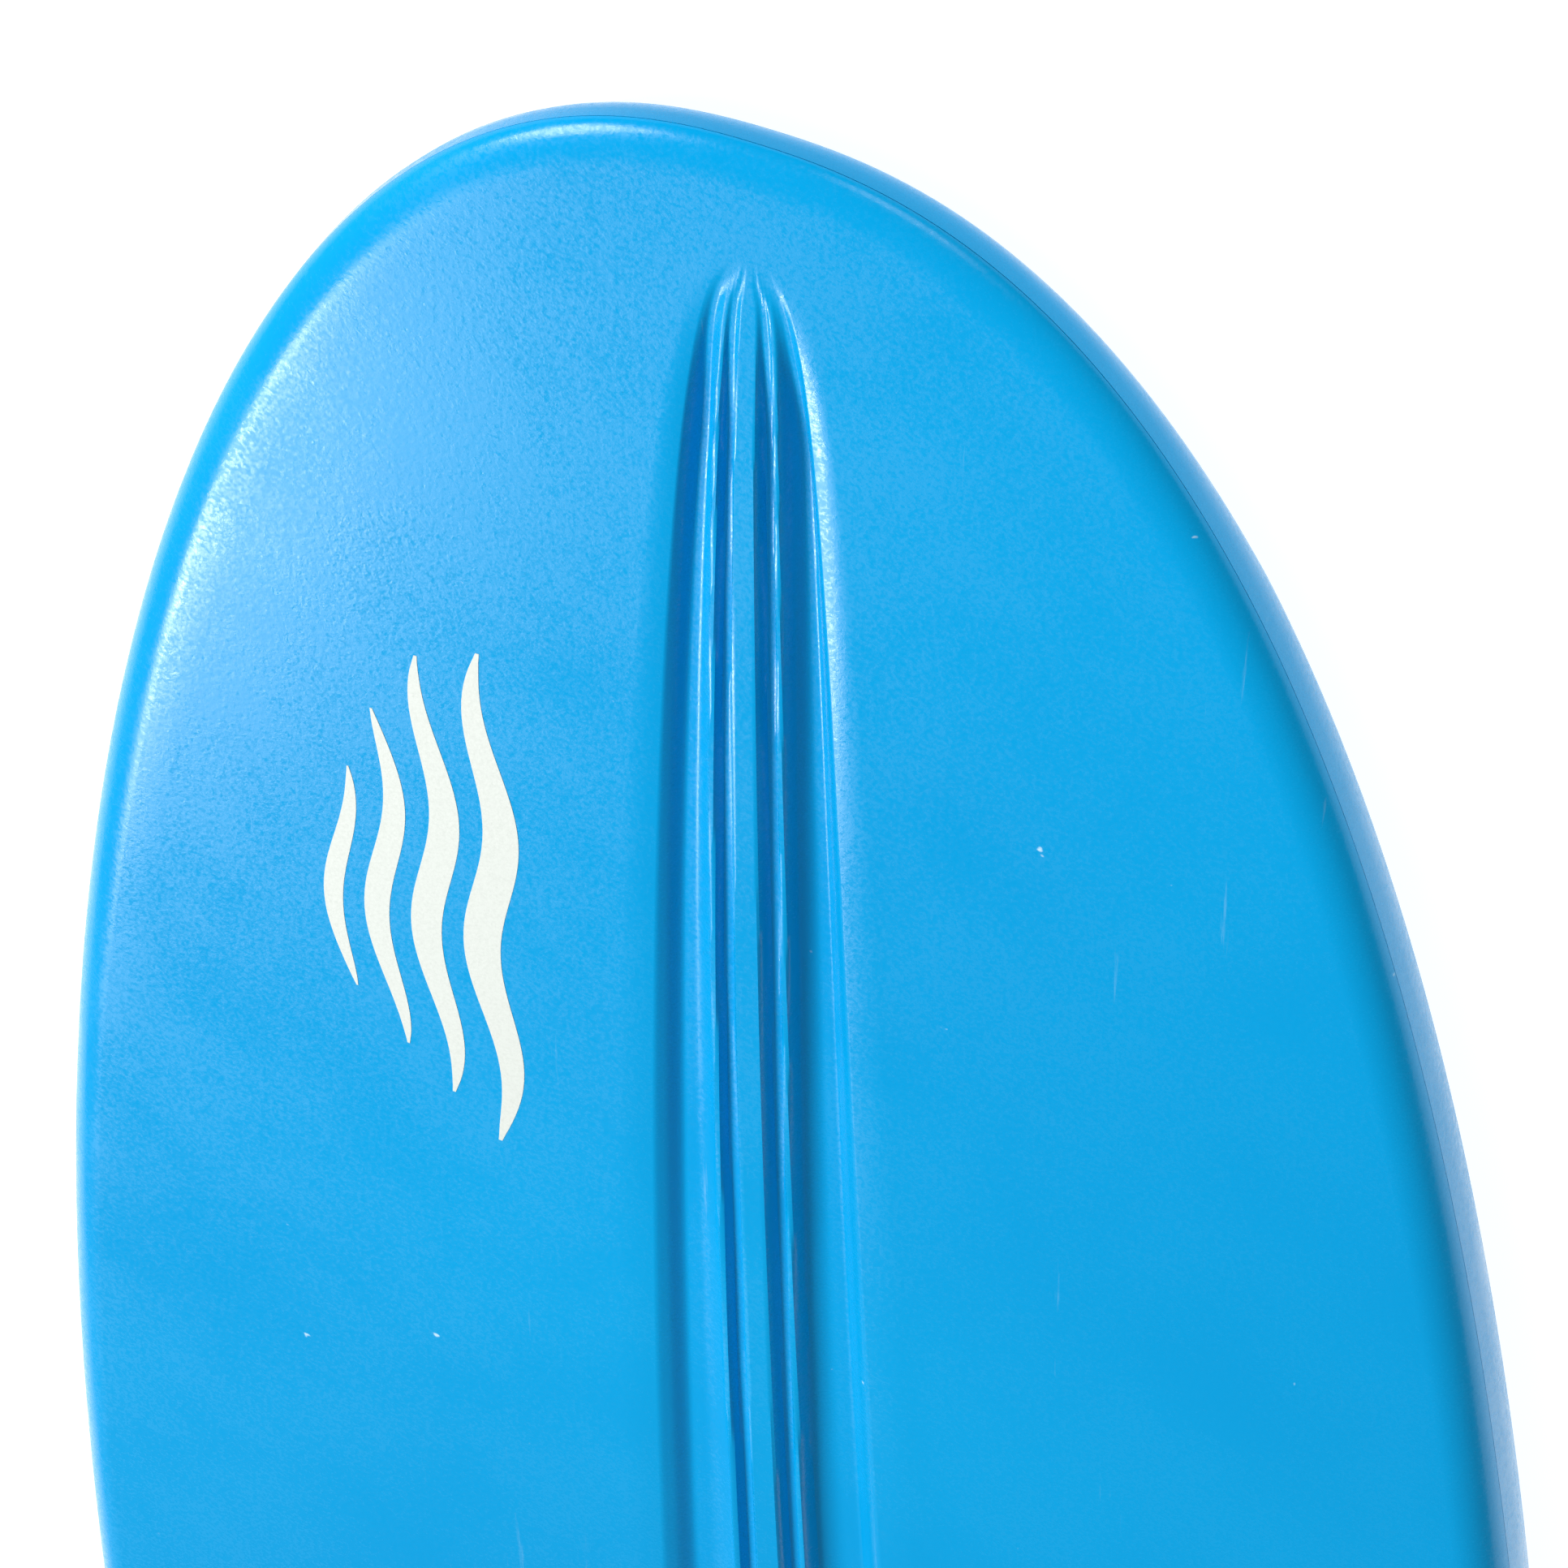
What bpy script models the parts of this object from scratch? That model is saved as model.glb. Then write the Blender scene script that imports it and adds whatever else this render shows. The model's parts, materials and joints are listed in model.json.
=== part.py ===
"""Stand-up paddleboard with a moulded polyethylene shell, lying deck down with its hull up.

Metres, +Z up, the nose towards +X, and the origin on the floor under the middle of the board.
Along the board, places are given by s, the distance back from the nose tip.
"""

import math

import bmesh
import bpy
from mathutils import Matrix, Vector

# Board
LENGTH = 3.05
HALF_WIDTH = 0.395
THICKNESS = 0.125
SHELL_WALL = 0.004
HULL_LEVEL = 0.1565  # height of the hull's flat middle above the floor
HULL_CROWN = 0.006  # how far the hull falls from its middle to its edge
NOSE_ROCKER, NOSE_ROCKER_RUN, NOSE_ROCKER_POWER = 0.110, 1.5, 2.2
TAIL_ROCKER, TAIL_ROCKER_RUN = 0.068, 1.2
NOSE_THINNING, NOSE_THINNING_RUN = 0.068, 1.3
TAIL_THINNING, TAIL_THINNING_RUN = 0.026, 0.9

# Outline
NOSE_RUN, NOSE_TAPER, NOSE_BLUNTNESS = 1.6, 2.7, 2.3
TAIL_RUN, TAIL_TAPER, TAIL_BLUNTNESS = 1.3, 2.2, 2.3
STATIONS = 44

# Rail
SEAM_SHARE = 0.85  # height of the seam, where the board is widest, within its thickness
HULL_ROUND, DECK_ROUND = 0.020, 0.100  # how far the hull's and the deck's flats stand in from the seam
RAIL_STEPS = (18, 40, 65, 90)  # degrees round each half of the rail
GAP = 0.0003  # between pieces that touch
FOAM_CLEARANCE = 0.003
POCKET_CLEARANCE = 0.002  # between the foam and the bottom of a fitting let into it

# Channel and keel in the hull
CHANNEL_START, CHANNEL_FULL, CHANNEL_HALF, CHANNEL_POWER = 0.060, 1.10, 0.0615, 0.30
CREST_START, CREST_FULL, CREST_HALF, CREST_POWER = 0.076, 0.48, 0.0173, 0.15
CHANNEL_DEPTH = 0.009
CREST_HEIGHT = 0.002
VALLEY_DEPTH = 0.003
RIB_HEIGHT = 0.004
NOSE_FADE = 0.12
CHANNEL_END, TAIL_FADE = 2.42, 0.22
NARROWEST_CHANNEL = 0.012

# Fin and its box
FIN_PLACE = 2.69
BOX_LENGTH, BOX_WIDTH, BOX_DEPTH = 0.275, 0.026, 0.034
SLOT_LENGTH, SLOT_WIDTH, SLOT_DEPTH = 0.255, 0.0096, 0.027
TRACK_WIDTH, TRACK_TOP, TRACK_BOTTOM = 0.0168, 0.0118, 0.0166
NOTCH_LENGTH = 0.020
TAB_BACK, TAB_FRONT, TAB_TIP = -0.092, 0.058, 0.080
TAB_DEPTH, TAB_THICKNESS = 0.024, 0.009
TIP_TAB_TOP, TIP_TAB_BOTTOM = 0.0065, 0.0112
PIN_PLACE, PIN_RADIUS, PIN_LENGTH = -0.080, 0.0019, 0.0160
PLATE_PLACE, PLATE_LENGTH, PLATE_THICKNESS = 0.069, 0.013, 0.0038
FIN_SCREW_RADIUS = 0.0020
FIN_SCREW_HEAD_RADIUS, FIN_SCREW_HEAD, FIN_SCREW_LENGTH = 0.0036, 0.0024, 0.0165
FIN_HEIGHT = 0.215
FIN_THICKNESS, FIN_TIP_THICKNESS = 0.008, 0.0014
FIN_RAKE, FIN_RAKE_POWER = 0.221, 1.9  # how far the leading edge sweeps back
FIN_BELLY, FIN_TIP_SWEEP = 0.030, 0.085  # the trailing edge's hollow, and its reach at the tip
FIN_SETBACK = 0.001  # how far the blade's root stands in from the tab's ends
FIN_STEPS = 12

# Deck fittings
PAD_THICKNESS = 0.005
PAD_CORNER = 0.03
PAD_ROWS = 10
PAD_SPANS = ((1.200, 1.390), (1.396, 1.764), (1.770, 2.620))
PAD_HALF_WIDTHS = ((0.215, 0.275), (0.275, 0.275), (0.275, 0.200))
HANDLE_PLACE = 1.58
WELL_LENGTH, WELL_WIDTH, WELL_DEPTH = 0.132, 0.096, 0.034
WELL_CORNER, WELL_DRAFT = 0.024, 0.008
WINDOW_CLEARANCE, WINDOW_CORNER = 0.006, 0.020
STRAP_SPAN, STRAP_WIDTH, STRAP_THICKNESS, STRAP_RISE = 0.196, 0.030, 0.0026, 0.014
STRAP_END = 0.016
STRAP_STEPS = 26
CLAMP_PLACE = STRAP_SPAN / 2 + STRAP_END / 2  # of the clamp plates, from the handle's middle
GRIP_LENGTH, GRIP_WIDTH, GRIP_THICKNESS = 0.110, 0.040, 0.012
HANDLE_PLATE_LENGTH, HANDLE_PLATE_WIDTH, HANDLE_PLATE_THICKNESS = 0.022, 0.046, 0.003
HANDLE_PLATE_CORNER = 0.005
HANDLE_SCREW_SPACING = 0.016
PAD_EYE_PLACES = ((0.56, 0.150), (0.56, -0.150), (0.90, 0.200), (0.90, -0.200))
EYE_LENGTH, EYE_WIDTH, EYE_BASE = 0.056, 0.015, 0.0025
EYE_OUTER, EYE_INNER, EYE_ARCH_WIDTH = 0.0125, 0.0075, 0.006
EYE_SCREW_SPACING = 0.042
EYE_STEPS = 10
SCREW_RADIUS, SCREW_HEAD_RADIUS, SCREW_HEAD, SCREW_LENGTH = 0.0021, 0.0042, 0.0026, 0.014
INSERT_RADIUS, INSERT_LENGTH = 0.0042, 0.009
CUP_PLACE, CUP_RADIUS, CUP_DEPTH, CUP_WALL = LENGTH - 0.29, 0.0170, 0.022, 0.0028
CUP_FLANGE_RADIUS, CUP_FLANGE = 0.0225, 0.0018
CUP_PIN_RADIUS = 0.0025
VENT_PLACE = 1.04
BUSH_RADIUS, BUSH_LENGTH, BUSH_FLANGE_RADIUS, BUSH_FLANGE = 0.0095, 0.018, 0.014, 0.002
PLUG_RADIUS, PLUG_LENGTH, PLUG_HEAD_RADIUS, PLUG_HEAD = 0.0052, 0.014, 0.0090, 0.0036
PLUG_SLOT_WIDTH, PLUG_SLOT_DEPTH = 0.0018, 0.0016
RING_RADIUS, RING_WIRE = 0.0070, 0.0009

ROUND = 20  # sides of a round piece
SMALL_ROUND = 12
OVERRUN = 0.01  # how far a cutter runs past what it cuts


def clear_scene():
    for obj in list(bpy.data.objects):
        bpy.data.objects.remove(obj, do_unlink=True)


def material(name, color, roughness, metallic=0.0):
    made = bpy.data.materials.new(name)
    made.use_nodes = True
    shader = made.node_tree.nodes["Principled BSDF"]
    shader.inputs["Base Color"].default_value = (*color, 1.0)
    shader.inputs["Roughness"].default_value = roughness
    shader.inputs["Metallic"].default_value = metallic
    return made


def make_object(name, bm, matrix=None, finish=None, smooth=False):
    """An object from a closed bmesh, with its faces turned outwards."""
    if matrix is not None:
        bmesh.ops.transform(bm, matrix=matrix, verts=bm.verts)
    bmesh.ops.recalc_face_normals(bm, faces=bm.faces)
    for face in bm.faces:
        face.smooth = smooth
    mesh = bpy.data.meshes.new(name)
    bm.to_mesh(mesh)
    bm.free()
    obj = bpy.data.objects.new(name, mesh)
    bpy.context.scene.collection.objects.link(obj)
    if finish is not None:
        mesh.materials.append(finish)
    return obj


def apply_boolean(target, other, operation):
    """Cuts other from target, or joins it on, and removes other."""
    modifier = target.modifiers.new(operation.title(), "BOOLEAN")
    modifier.operation = operation
    modifier.solver = "EXACT"
    modifier.object = other
    graph = bpy.context.evaluated_depsgraph_get()
    result = bpy.data.meshes.new_from_object(target.evaluated_get(graph))
    target.modifiers.clear()
    target.data = result
    bpy.data.objects.remove(other, do_unlink=True)


def cut(target, *cutters):
    for cutter in cutters:
        apply_boolean(target, cutter, "DIFFERENCE")


def join(target, *others):
    for other in others:
        apply_boolean(target, other, "UNION")


# Basic solids, as bmeshes


def block(low, high):
    bm = bmesh.new()
    bmesh.ops.create_cube(bm, size=1.0)
    for vert in bm.verts:
        vert.co = Vector(low[i] if vert.co[i] < 0 else high[i] for i in range(3))
    return bm


def lathe(profile, sides=ROUND):
    """A solid of revolution about Z from (radius, height) points, with radius 0 at both ends."""
    bm = bmesh.new()
    rings = []
    for radius, height in profile:
        if radius == 0:
            rings.append([bm.verts.new((0, 0, height))])
            continue
        angles = [math.tau * i / sides for i in range(sides)]
        rings.append([bm.verts.new((radius * math.cos(a), radius * math.sin(a), height)) for a in angles])
    for lower, upper in zip(rings, rings[1:]):
        bridge(bm, lower, upper)
    return bm


def tube(profile, sides=ROUND):
    """A solid of revolution with a hole, from a closed loop of (radius, height) points."""
    bm = bmesh.new()
    rings = []
    for radius, height in profile:
        angles = [math.tau * i / sides for i in range(sides)]
        rings.append([bm.verts.new((radius * math.cos(a), radius * math.sin(a), height)) for a in angles])
    for lower, upper in zip(rings, rings[1:] + rings[:1]):
        bridge(bm, lower, upper)
    return bm


def bridge(bm, first, second):
    """Faces between two closed rings of vertices, either of which may be a single point."""
    count = max(len(first), len(second))
    for i in range(count):
        corners = [first[i % len(first)], first[(i + 1) % len(first)]]
        corners += [second[(i + 1) % len(second)], second[i % len(second)]]
        bm.faces.new(list(dict.fromkeys(corners)))


def cylinder(radius, low, high, sides=ROUND):
    return lathe([(0, low), (radius, low), (radius, high), (0, high)], sides)


def loft(sections):
    """A solid through closed sections of equal point counts, with flat ends."""
    bm = bmesh.new()
    rings = [[bm.verts.new(point) for point in section] for section in sections]
    for lower, upper in zip(rings, rings[1:]):
        bridge(bm, lower, upper)
    bm.faces.new(rings[0])
    bm.faces.new(rings[-1])
    return bm


def rounded_rectangle(half_x, half_y, corner, height, steps=5):
    points = []
    for turn, (sx, sy) in enumerate(((1, 1), (-1, 1), (-1, -1), (1, -1))):
        for i in range(steps + 1):
            angle = math.pi / 2 * (turn + i / steps)
            x = sx * (half_x - corner) + corner * math.cos(angle)
            y = sy * (half_y - corner) + corner * math.sin(angle)
            points.append((x, y, height))
    return points


def smooth_step(value):
    value = min(max(value, 0.0), 1.0)
    return value * value * (3 - 2 * value)


# Shape of the board


def half_width(s):
    to_nose = min(s / NOSE_RUN, 1.0)
    to_tail = min((LENGTH - s) / TAIL_RUN, 1.0)
    nose = (1 - (1 - to_nose) ** NOSE_TAPER) ** (1 / NOSE_BLUNTNESS)
    tail = (1 - (1 - to_tail) ** TAIL_TAPER) ** (1 / TAIL_BLUNTNESS)
    return HALF_WIDTH * nose * tail


def hull_line(s):
    """Height of the hull along its middle, without the channel."""
    nose = NOSE_ROCKER * max(1 - s / NOSE_ROCKER_RUN, 0) ** NOSE_ROCKER_POWER
    tail = TAIL_ROCKER * max(1 - (LENGTH - s) / TAIL_ROCKER_RUN, 0) ** 2
    return HULL_LEVEL - nose - tail


def deck_height(s):
    """Height of the deck, which ends in flat patches that rest on the floor."""
    nose = NOSE_THINNING * max(1 - s / NOSE_THINNING_RUN, 0) ** 2
    tail = TAIL_THINNING * max(1 - (LENGTH - s) / TAIL_THINNING_RUN, 0) ** 2
    return max(hull_line(s) - THICKNESS + nose + tail, 0)


def hull_height(s, y):
    return hull_line(s) - HULL_CROWN * (y / HALF_WIDTH) ** 2


def seam_height(s, y):
    return deck_height(s) + SEAM_SHARE * (hull_height(s, y) - deck_height(s))


def channel_half(s):
    along = min(max(s - CHANNEL_START, 0) / (CHANNEL_FULL - CHANNEL_START), 1)
    return max(CHANNEL_HALF * along**CHANNEL_POWER, NARROWEST_CHANNEL)


def crest_half(s):
    along = min(max(s - CREST_START, 0) / (CREST_FULL - CREST_START), 1)
    return max(CREST_HALF * along**CREST_POWER, 0.3 * channel_half(s))


def channel_profile(channel, crest):
    """(distance from the middle, height) of the channel's section, from its middle to its edge."""
    floor = channel - crest
    return (
        (0, RIB_HEIGHT),
        (0.32 * crest, RIB_HEIGHT),
        (0.56 * crest, -VALLEY_DEPTH),
        (0.78 * crest, -VALLEY_DEPTH),
        (0.94 * crest, CREST_HEIGHT),
        (1.06 * crest, CREST_HEIGHT),
        (1.30 * crest, -0.6 * CHANNEL_DEPTH),
        (crest + 0.45 * floor, -CHANNEL_DEPTH),
        (crest + 0.62 * floor, -CHANNEL_DEPTH),
        (crest + 0.85 * floor, -0.3 * CHANNEL_DEPTH),
        (channel, 0),
    )


def relief(s, y):
    """Height of the channel and keel over the plain hull."""
    fade = smooth_step((s - CHANNEL_START) / NOSE_FADE) * smooth_step((CHANNEL_END - s) / TAIL_FADE)
    profile = channel_profile(channel_half(s), crest_half(s))
    for (near, start), (far, end) in zip(profile, profile[1:]):
        if near <= abs(y) < far:
            return fade * (start + (end - start) * (abs(y) - near) / (far - near))
    return 0.0


def keel_columns(s, reach):
    """Distances from the middle of the hull's lengthwise mesh lines."""
    channel = min(channel_half(s), 0.5 * reach)
    crest = min(crest_half(s), 0.4 * channel)
    lines = [distance for distance, _ in channel_profile(channel, crest)]
    return lines + [channel + share * (reach - channel) for share in (0.3, 0.6, 0.85)]


def plain_columns(s, reach):
    return [share * reach for share in (0.0, 0.3, 0.6, 0.85)]


def outline():
    """The board's edge as (s, y, inward normal), from the nose tip round the left side and back."""
    spots = []
    for k in range(STATIONS + 1):
        s = LENGTH / 2 * (1 - math.cos(math.pi * k / STATIONS))
        spots.append((s, half_width(s) if 0 < k < STATIONS else 0.0))
    spots += [(s, -y) for s, y in reversed(spots[1:-1])]
    made = []
    for i, (s, y) in enumerate(spots):
        before, after = spots[i - 1], spots[(i + 1) % len(spots)]
        along = Vector((after[0] - before[0], after[1] - before[1])).normalized()
        made.append((s, y, Vector((along.y, -along.x))))
    return made


def edge_ring(bm, inset, height):
    """A ring of vertices at a distance inside the board's edge."""
    ring = []
    for s, y, inward in outline():
        at_s, at_y = s + inset * inward.x, y + inset * inward.y
        ring.append(bm.verts.new((LENGTH / 2 - at_s, at_y, height(at_s, at_y))))
    return ring


def field(bm, ring, height, columns):
    """Fills the space inside a ring with rows across the board."""
    rows = []
    for k in range(1, STATIONS):
        left, right = ring[k], ring[-k]
        s = LENGTH / 2 - left.co.x
        spots = columns(s, left.co.y)
        across = [-y for y in reversed(spots[1:])] + spots
        between = [bm.verts.new((left.co.x, y, height(s, y))) for y in across]
        rows.append([right, *between, left])
    for row, after in zip(rows, rows[1:]):
        for i in range(len(row) - 1):
            bm.faces.new((row[i], row[i + 1], after[i + 1], after[i]))
    for tip, row in ((ring[0], rows[0]), (ring[STATIONS], rows[-1])):
        for near, far in zip(row, row[1:]):
            bm.faces.new((tip, near, far))


def skin(bm, first_ring, profile, height, columns):
    """Joins first_ring to rings along a rail profile, then fills the middle."""
    rings = [first_ring]
    for inset, ring_height in profile:
        rings.append(edge_ring(bm, inset, ring_height))
    for lower, upper in zip(rings, rings[1:]):
        bridge(bm, lower, upper)
    field(bm, rings[-1], height, columns)


def rail(wall, round_in, flat):
    """Rings from the seam to a flat, along a quarter of an ellipse, each (inset, height function)."""
    rings = []
    for angle in RAIL_STEPS:
        turn = math.radians(angle)

        def height(s, y, share=math.sin(turn)):
            seam = seam_height(s, y)
            return seam + (flat(s, y) - seam) * share

        rings.append((wall + round_in * (1 - math.cos(turn)), height))
    return rings


def shell(name, flat, surface, side, columns, finish):
    """One half of the board's skin. side is 1 for the hull and -1 for the deck."""
    bm = bmesh.new()
    round_in = HULL_ROUND if side > 0 else DECK_ROUND

    def seam(s, y):
        return seam_height(s, y) + side * GAP / 2

    def inner_flat(s, y):
        return flat(s, y) - side * SHELL_WALL

    def inner_surface(s, y):
        return surface(s, y) - side * SHELL_WALL

    outer, inner = edge_ring(bm, 0, seam), edge_ring(bm, SHELL_WALL, seam)
    bridge(bm, outer, inner)
    skin(bm, outer, rail(0, round_in, flat), surface, columns)
    skin(bm, inner, rail(SHELL_WALL, round_in, inner_flat), inner_surface, columns)
    return make_object(name, bm, finish=finish, smooth=True)


def foam_core(finish):
    """The foam block that fills the shell, held off it all round."""
    clear = SHELL_WALL + FOAM_CLEARANCE
    bm = bmesh.new()

    def top(s, y):
        return hull_height(s, y) - clear - CHANNEL_DEPTH

    def bottom(s, y):
        return deck_height(s) + clear

    middle = edge_ring(bm, clear, seam_height)
    ledge = [(clear + HULL_ROUND, seam_height), (clear + 2 * HULL_ROUND, top)]
    skin(bm, middle, ledge, top, plain_columns)
    skin(bm, middle, rail(clear, DECK_ROUND, bottom), bottom, plain_columns)
    return make_object("foam_core", bm, finish=finish)


# Frames in which the fittings are built: +Z out of the board, +X towards the nose


def fin_frame():
    """The fin box's frame: its top lies on the chord of the hull's curve."""
    front, back = FIN_PLACE - BOX_LENGTH / 2, FIN_PLACE + BOX_LENGTH / 2
    low, high = Vector((-back, 0, hull_line(back))), Vector((-front, 0, hull_line(front)))
    along = (high - low).normalized()
    middle = (low + high) / 2 + Vector((LENGTH / 2, 0, 0))
    return frame(middle, along, Vector((0, 0, 1)))


def deck_frame(s, y):
    """A frame on the deck's outside, with +Z pointing away from the board."""
    step = 0.01
    rise = deck_height(s - step) - deck_height(s + step)
    along = Vector((2 * step, 0, rise)).normalized()
    return frame(Vector((LENGTH / 2 - s, y, deck_height(s))), along, Vector((0, 0, -1)))


def frame(origin, along, outward):
    across = outward.cross(along).normalized()
    out = along.cross(across)
    columns = Matrix((along, across, out)).transposed().to_4x4()
    return Matrix.Translation(origin) @ columns


# Fin


def fin_box(place, finish):
    """A bar with a T-shaped slot along it and a wider notch where the plate drops in."""
    half_box, half_slot = BOX_LENGTH / 2, SLOT_LENGTH / 2
    low = (-half_box, -BOX_WIDTH / 2, -BOX_DEPTH)
    box = make_object("fin_box", block(low, (half_box, BOX_WIDTH / 2, 0)), finish=finish)
    narrow, wide = SLOT_WIDTH / 2, TRACK_WIDTH / 2
    side = [(narrow, -SLOT_DEPTH), (narrow, -TRACK_BOTTOM), (wide, -TRACK_BOTTOM), (wide, -TRACK_TOP)]
    side += [(narrow, -TRACK_TOP), (narrow, OVERRUN)]
    section = side + [(-y, z) for y, z in reversed(side)]
    slot = loft([[(x, y, z) for y, z in section] for x in (-half_slot, half_slot)])
    cut(box, make_object("slot_cut", slot))
    notch_half = wide + GAP
    notch_low = (-NOTCH_LENGTH / 2, -notch_half, -(TRACK_TOP + TRACK_BOTTOM) / 2)
    cut(box, make_object("notch_cut", block(notch_low, (NOTCH_LENGTH / 2, notch_half, OVERRUN))))
    box.data.transform(place)


def foil(front, back, thickness, height):
    """A symmetric foil section between two places along X."""
    stations = (0.0, 0.06, 0.2, 0.4, 0.65, 1.0)
    shares = (0.0, 0.55, 0.92, 1.0, 0.72, 0.10)
    chord = front - back
    side = [(front - p * chord, thickness / 2 * q) for p, q in zip(stations, shares)]
    right = [(x, -y, height) for x, y in reversed(side[1:])]
    return [(x, y, height) for x, y in side] + right


def fin_blade():
    """Foil sections from just inside the tab up to the tip."""
    front, back = TAB_FRONT - FIN_SETBACK, TAB_BACK + FIN_SETBACK
    sections = [foil(front, back, FIN_THICKNESS, -0.2 * TAB_DEPTH)]
    for i in range(FIN_STEPS + 1):
        up = i / FIN_STEPS
        leading = front - FIN_RAKE * up**FIN_RAKE_POWER
        trailing = back + FIN_BELLY * math.sin(math.pi * up) - FIN_TIP_SWEEP * up**3
        thickness = FIN_TIP_THICKNESS + (FIN_THICKNESS - FIN_TIP_THICKNESS) * (1 - up)
        height = 7 * GAP + (FIN_HEIGHT - 7 * GAP) * up
        sections.append(foil(leading, trailing, thickness, height))
    return loft(sections)


def fin(place, finish):
    """A raked blade on a tab that fits the box's slot."""
    blade = make_object("fin", fin_blade(), place, finish, smooth=True)
    half = TAB_THICKNESS / 2
    tab = block((TAB_BACK, -half, -TAB_DEPTH), (TAB_FRONT, half, 0))
    tip_low = (TAB_FRONT - half, -half, -TIP_TAB_BOTTOM)
    tip_tab = block(tip_low, (TAB_TIP, half, -TIP_TAB_TOP))
    join(blade, make_object("tab", tab, place), make_object("tip_tab", tip_tab, place))
    screw_hole = cylinder(FIN_SCREW_RADIUS + GAP, -2 * TIP_TAB_BOTTOM, 0.0, SMALL_ROUND)
    cut(blade, make_object("screw_hole", screw_hole, fin_screw_frame(place)))
    pin_hole = cylinder(PIN_RADIUS + GAP, -OVERRUN, OVERRUN, SMALL_ROUND)
    cut(blade, make_object("pin_hole", pin_hole, cross_pin_frame(place)))


def fin_screw_frame(place):
    return place @ Matrix.Translation((PLATE_PLACE, 0, 0))


def cross_pin_frame(place):
    height = -(TRACK_TOP + TRACK_BOTTOM) / 2
    turn = Matrix.Rotation(math.pi / 2, 4, "X")
    return place @ Matrix.Translation((PIN_PLACE, 0, height)) @ turn


def fin_hardware(place, steel, brass):
    """The cross pin, and the nut plate in the track with the screw that draws it up."""
    pin = cylinder(PIN_RADIUS, -PIN_LENGTH / 2, PIN_LENGTH / 2, SMALL_ROUND)
    make_object("fin_cross_pin", pin, cross_pin_frame(place), steel, smooth=True)
    half = (PLATE_LENGTH / 2, TRACK_WIDTH / 2 - 2 * GAP, PLATE_THICKNESS / 2)
    middle = (PLATE_PLACE, 0, -(TRACK_TOP + TRACK_BOTTOM) / 2)
    low = [m - h for m, h in zip(middle, half)]
    high = [m + h for m, h in zip(middle, half)]
    plate = make_object("fin_plate", block(low, high), place, brass)
    hole = cylinder(FIN_SCREW_RADIUS + GAP, -2 * TRACK_BOTTOM, 0.0, SMALL_ROUND)
    cut(plate, make_object("plate_hole", hole, fin_screw_frame(place)))
    screw = screw_shape(FIN_SCREW_RADIUS, FIN_SCREW_HEAD_RADIUS, FIN_SCREW_HEAD, FIN_SCREW_LENGTH)
    screw_place = fin_screw_frame(place) @ Matrix.Translation((0, 0, GAP - TIP_TAB_TOP))
    make_object("fin_screw", screw, screw_place, steel, smooth=True)


def screw_shape(radius, head_radius, head, length):
    """A pan head screw with a hexagon socket, its head's underside at height 0."""
    profile = [(0, -length), (0.6 * radius, -length), (radius, -length + 0.5 * radius), (radius, 0)]
    profile += [(head_radius, 0), (head_radius, 0.55 * head), (0.72 * head_radius, head)]
    profile += [(0.42 * head_radius, head), (0.42 * head_radius, 0.35 * head), (0, 0.35 * head)]
    return lathe(profile, SMALL_ROUND)


# Deck fittings


def screw_and_insert(number, prefix, place, spot, seat, steel, brass):
    """A machine screw at a spot of a fitting, and the threaded insert it enters."""
    at = place @ Matrix.Translation((*spot, seat + GAP))
    screw = screw_shape(SCREW_RADIUS, SCREW_HEAD_RADIUS, SCREW_HEAD, SCREW_LENGTH)
    make_object(f"{prefix}_screw_{number}", screw, at, steel, smooth=True)
    top = -SHELL_WALL - GAP
    inner = SCREW_RADIUS + GAP
    loop = [(inner, top - INSERT_LENGTH), (INSERT_RADIUS, top - INSERT_LENGTH), (INSERT_RADIUS, top)]
    loop.append((inner, top))
    insert_place = place @ Matrix.Translation((*spot, 0))
    make_object(f"{prefix}_insert_{number}", tube(loop, SMALL_ROUND), insert_place, brass, smooth=True)


def drill(deck, core, place, spot):
    """The hole through the shell and the pocket in the foam for one screw and insert."""
    at = place @ Matrix.Translation((*spot, 0))
    hole = cylinder(SCREW_RADIUS + GAP, -2 * SHELL_WALL, OVERRUN, SMALL_ROUND)
    cut(deck, make_object("screw_hole", hole, at))
    pocket_low = -SCREW_LENGTH - POCKET_CLEARANCE
    pocket = cylinder(INSERT_RADIUS + 2 * GAP, pocket_low, OVERRUN, SMALL_ROUND)
    cut(core, make_object("insert_pocket", pocket, at))


def eye_arch():
    """The pad eye's half-round loop, its feet sunk into the base."""
    foot = 0.5 * EYE_BASE
    angles = [math.pi * i / EYE_STEPS for i in range(EYE_STEPS + 1)]
    outer = [(EYE_OUTER * math.cos(a), foot + EYE_OUTER * math.sin(a)) for a in angles]
    inner = [(EYE_INNER * math.cos(a), foot + EYE_INNER * math.sin(a)) for a in reversed(angles)]
    half = EYE_ARCH_WIDTH / 2
    bm = bmesh.new()
    near = [bm.verts.new((x, -half, z)) for x, z in outer + inner]
    far = [bm.verts.new((x, half, z)) for x, z in outer + inner]
    bridge(bm, near, far)
    for ring in (near, far):
        for i in range(EYE_STEPS):
            bm.faces.new((ring[i], ring[i + 1], ring[-i - 2], ring[-i - 1]))
    return bm


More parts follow.
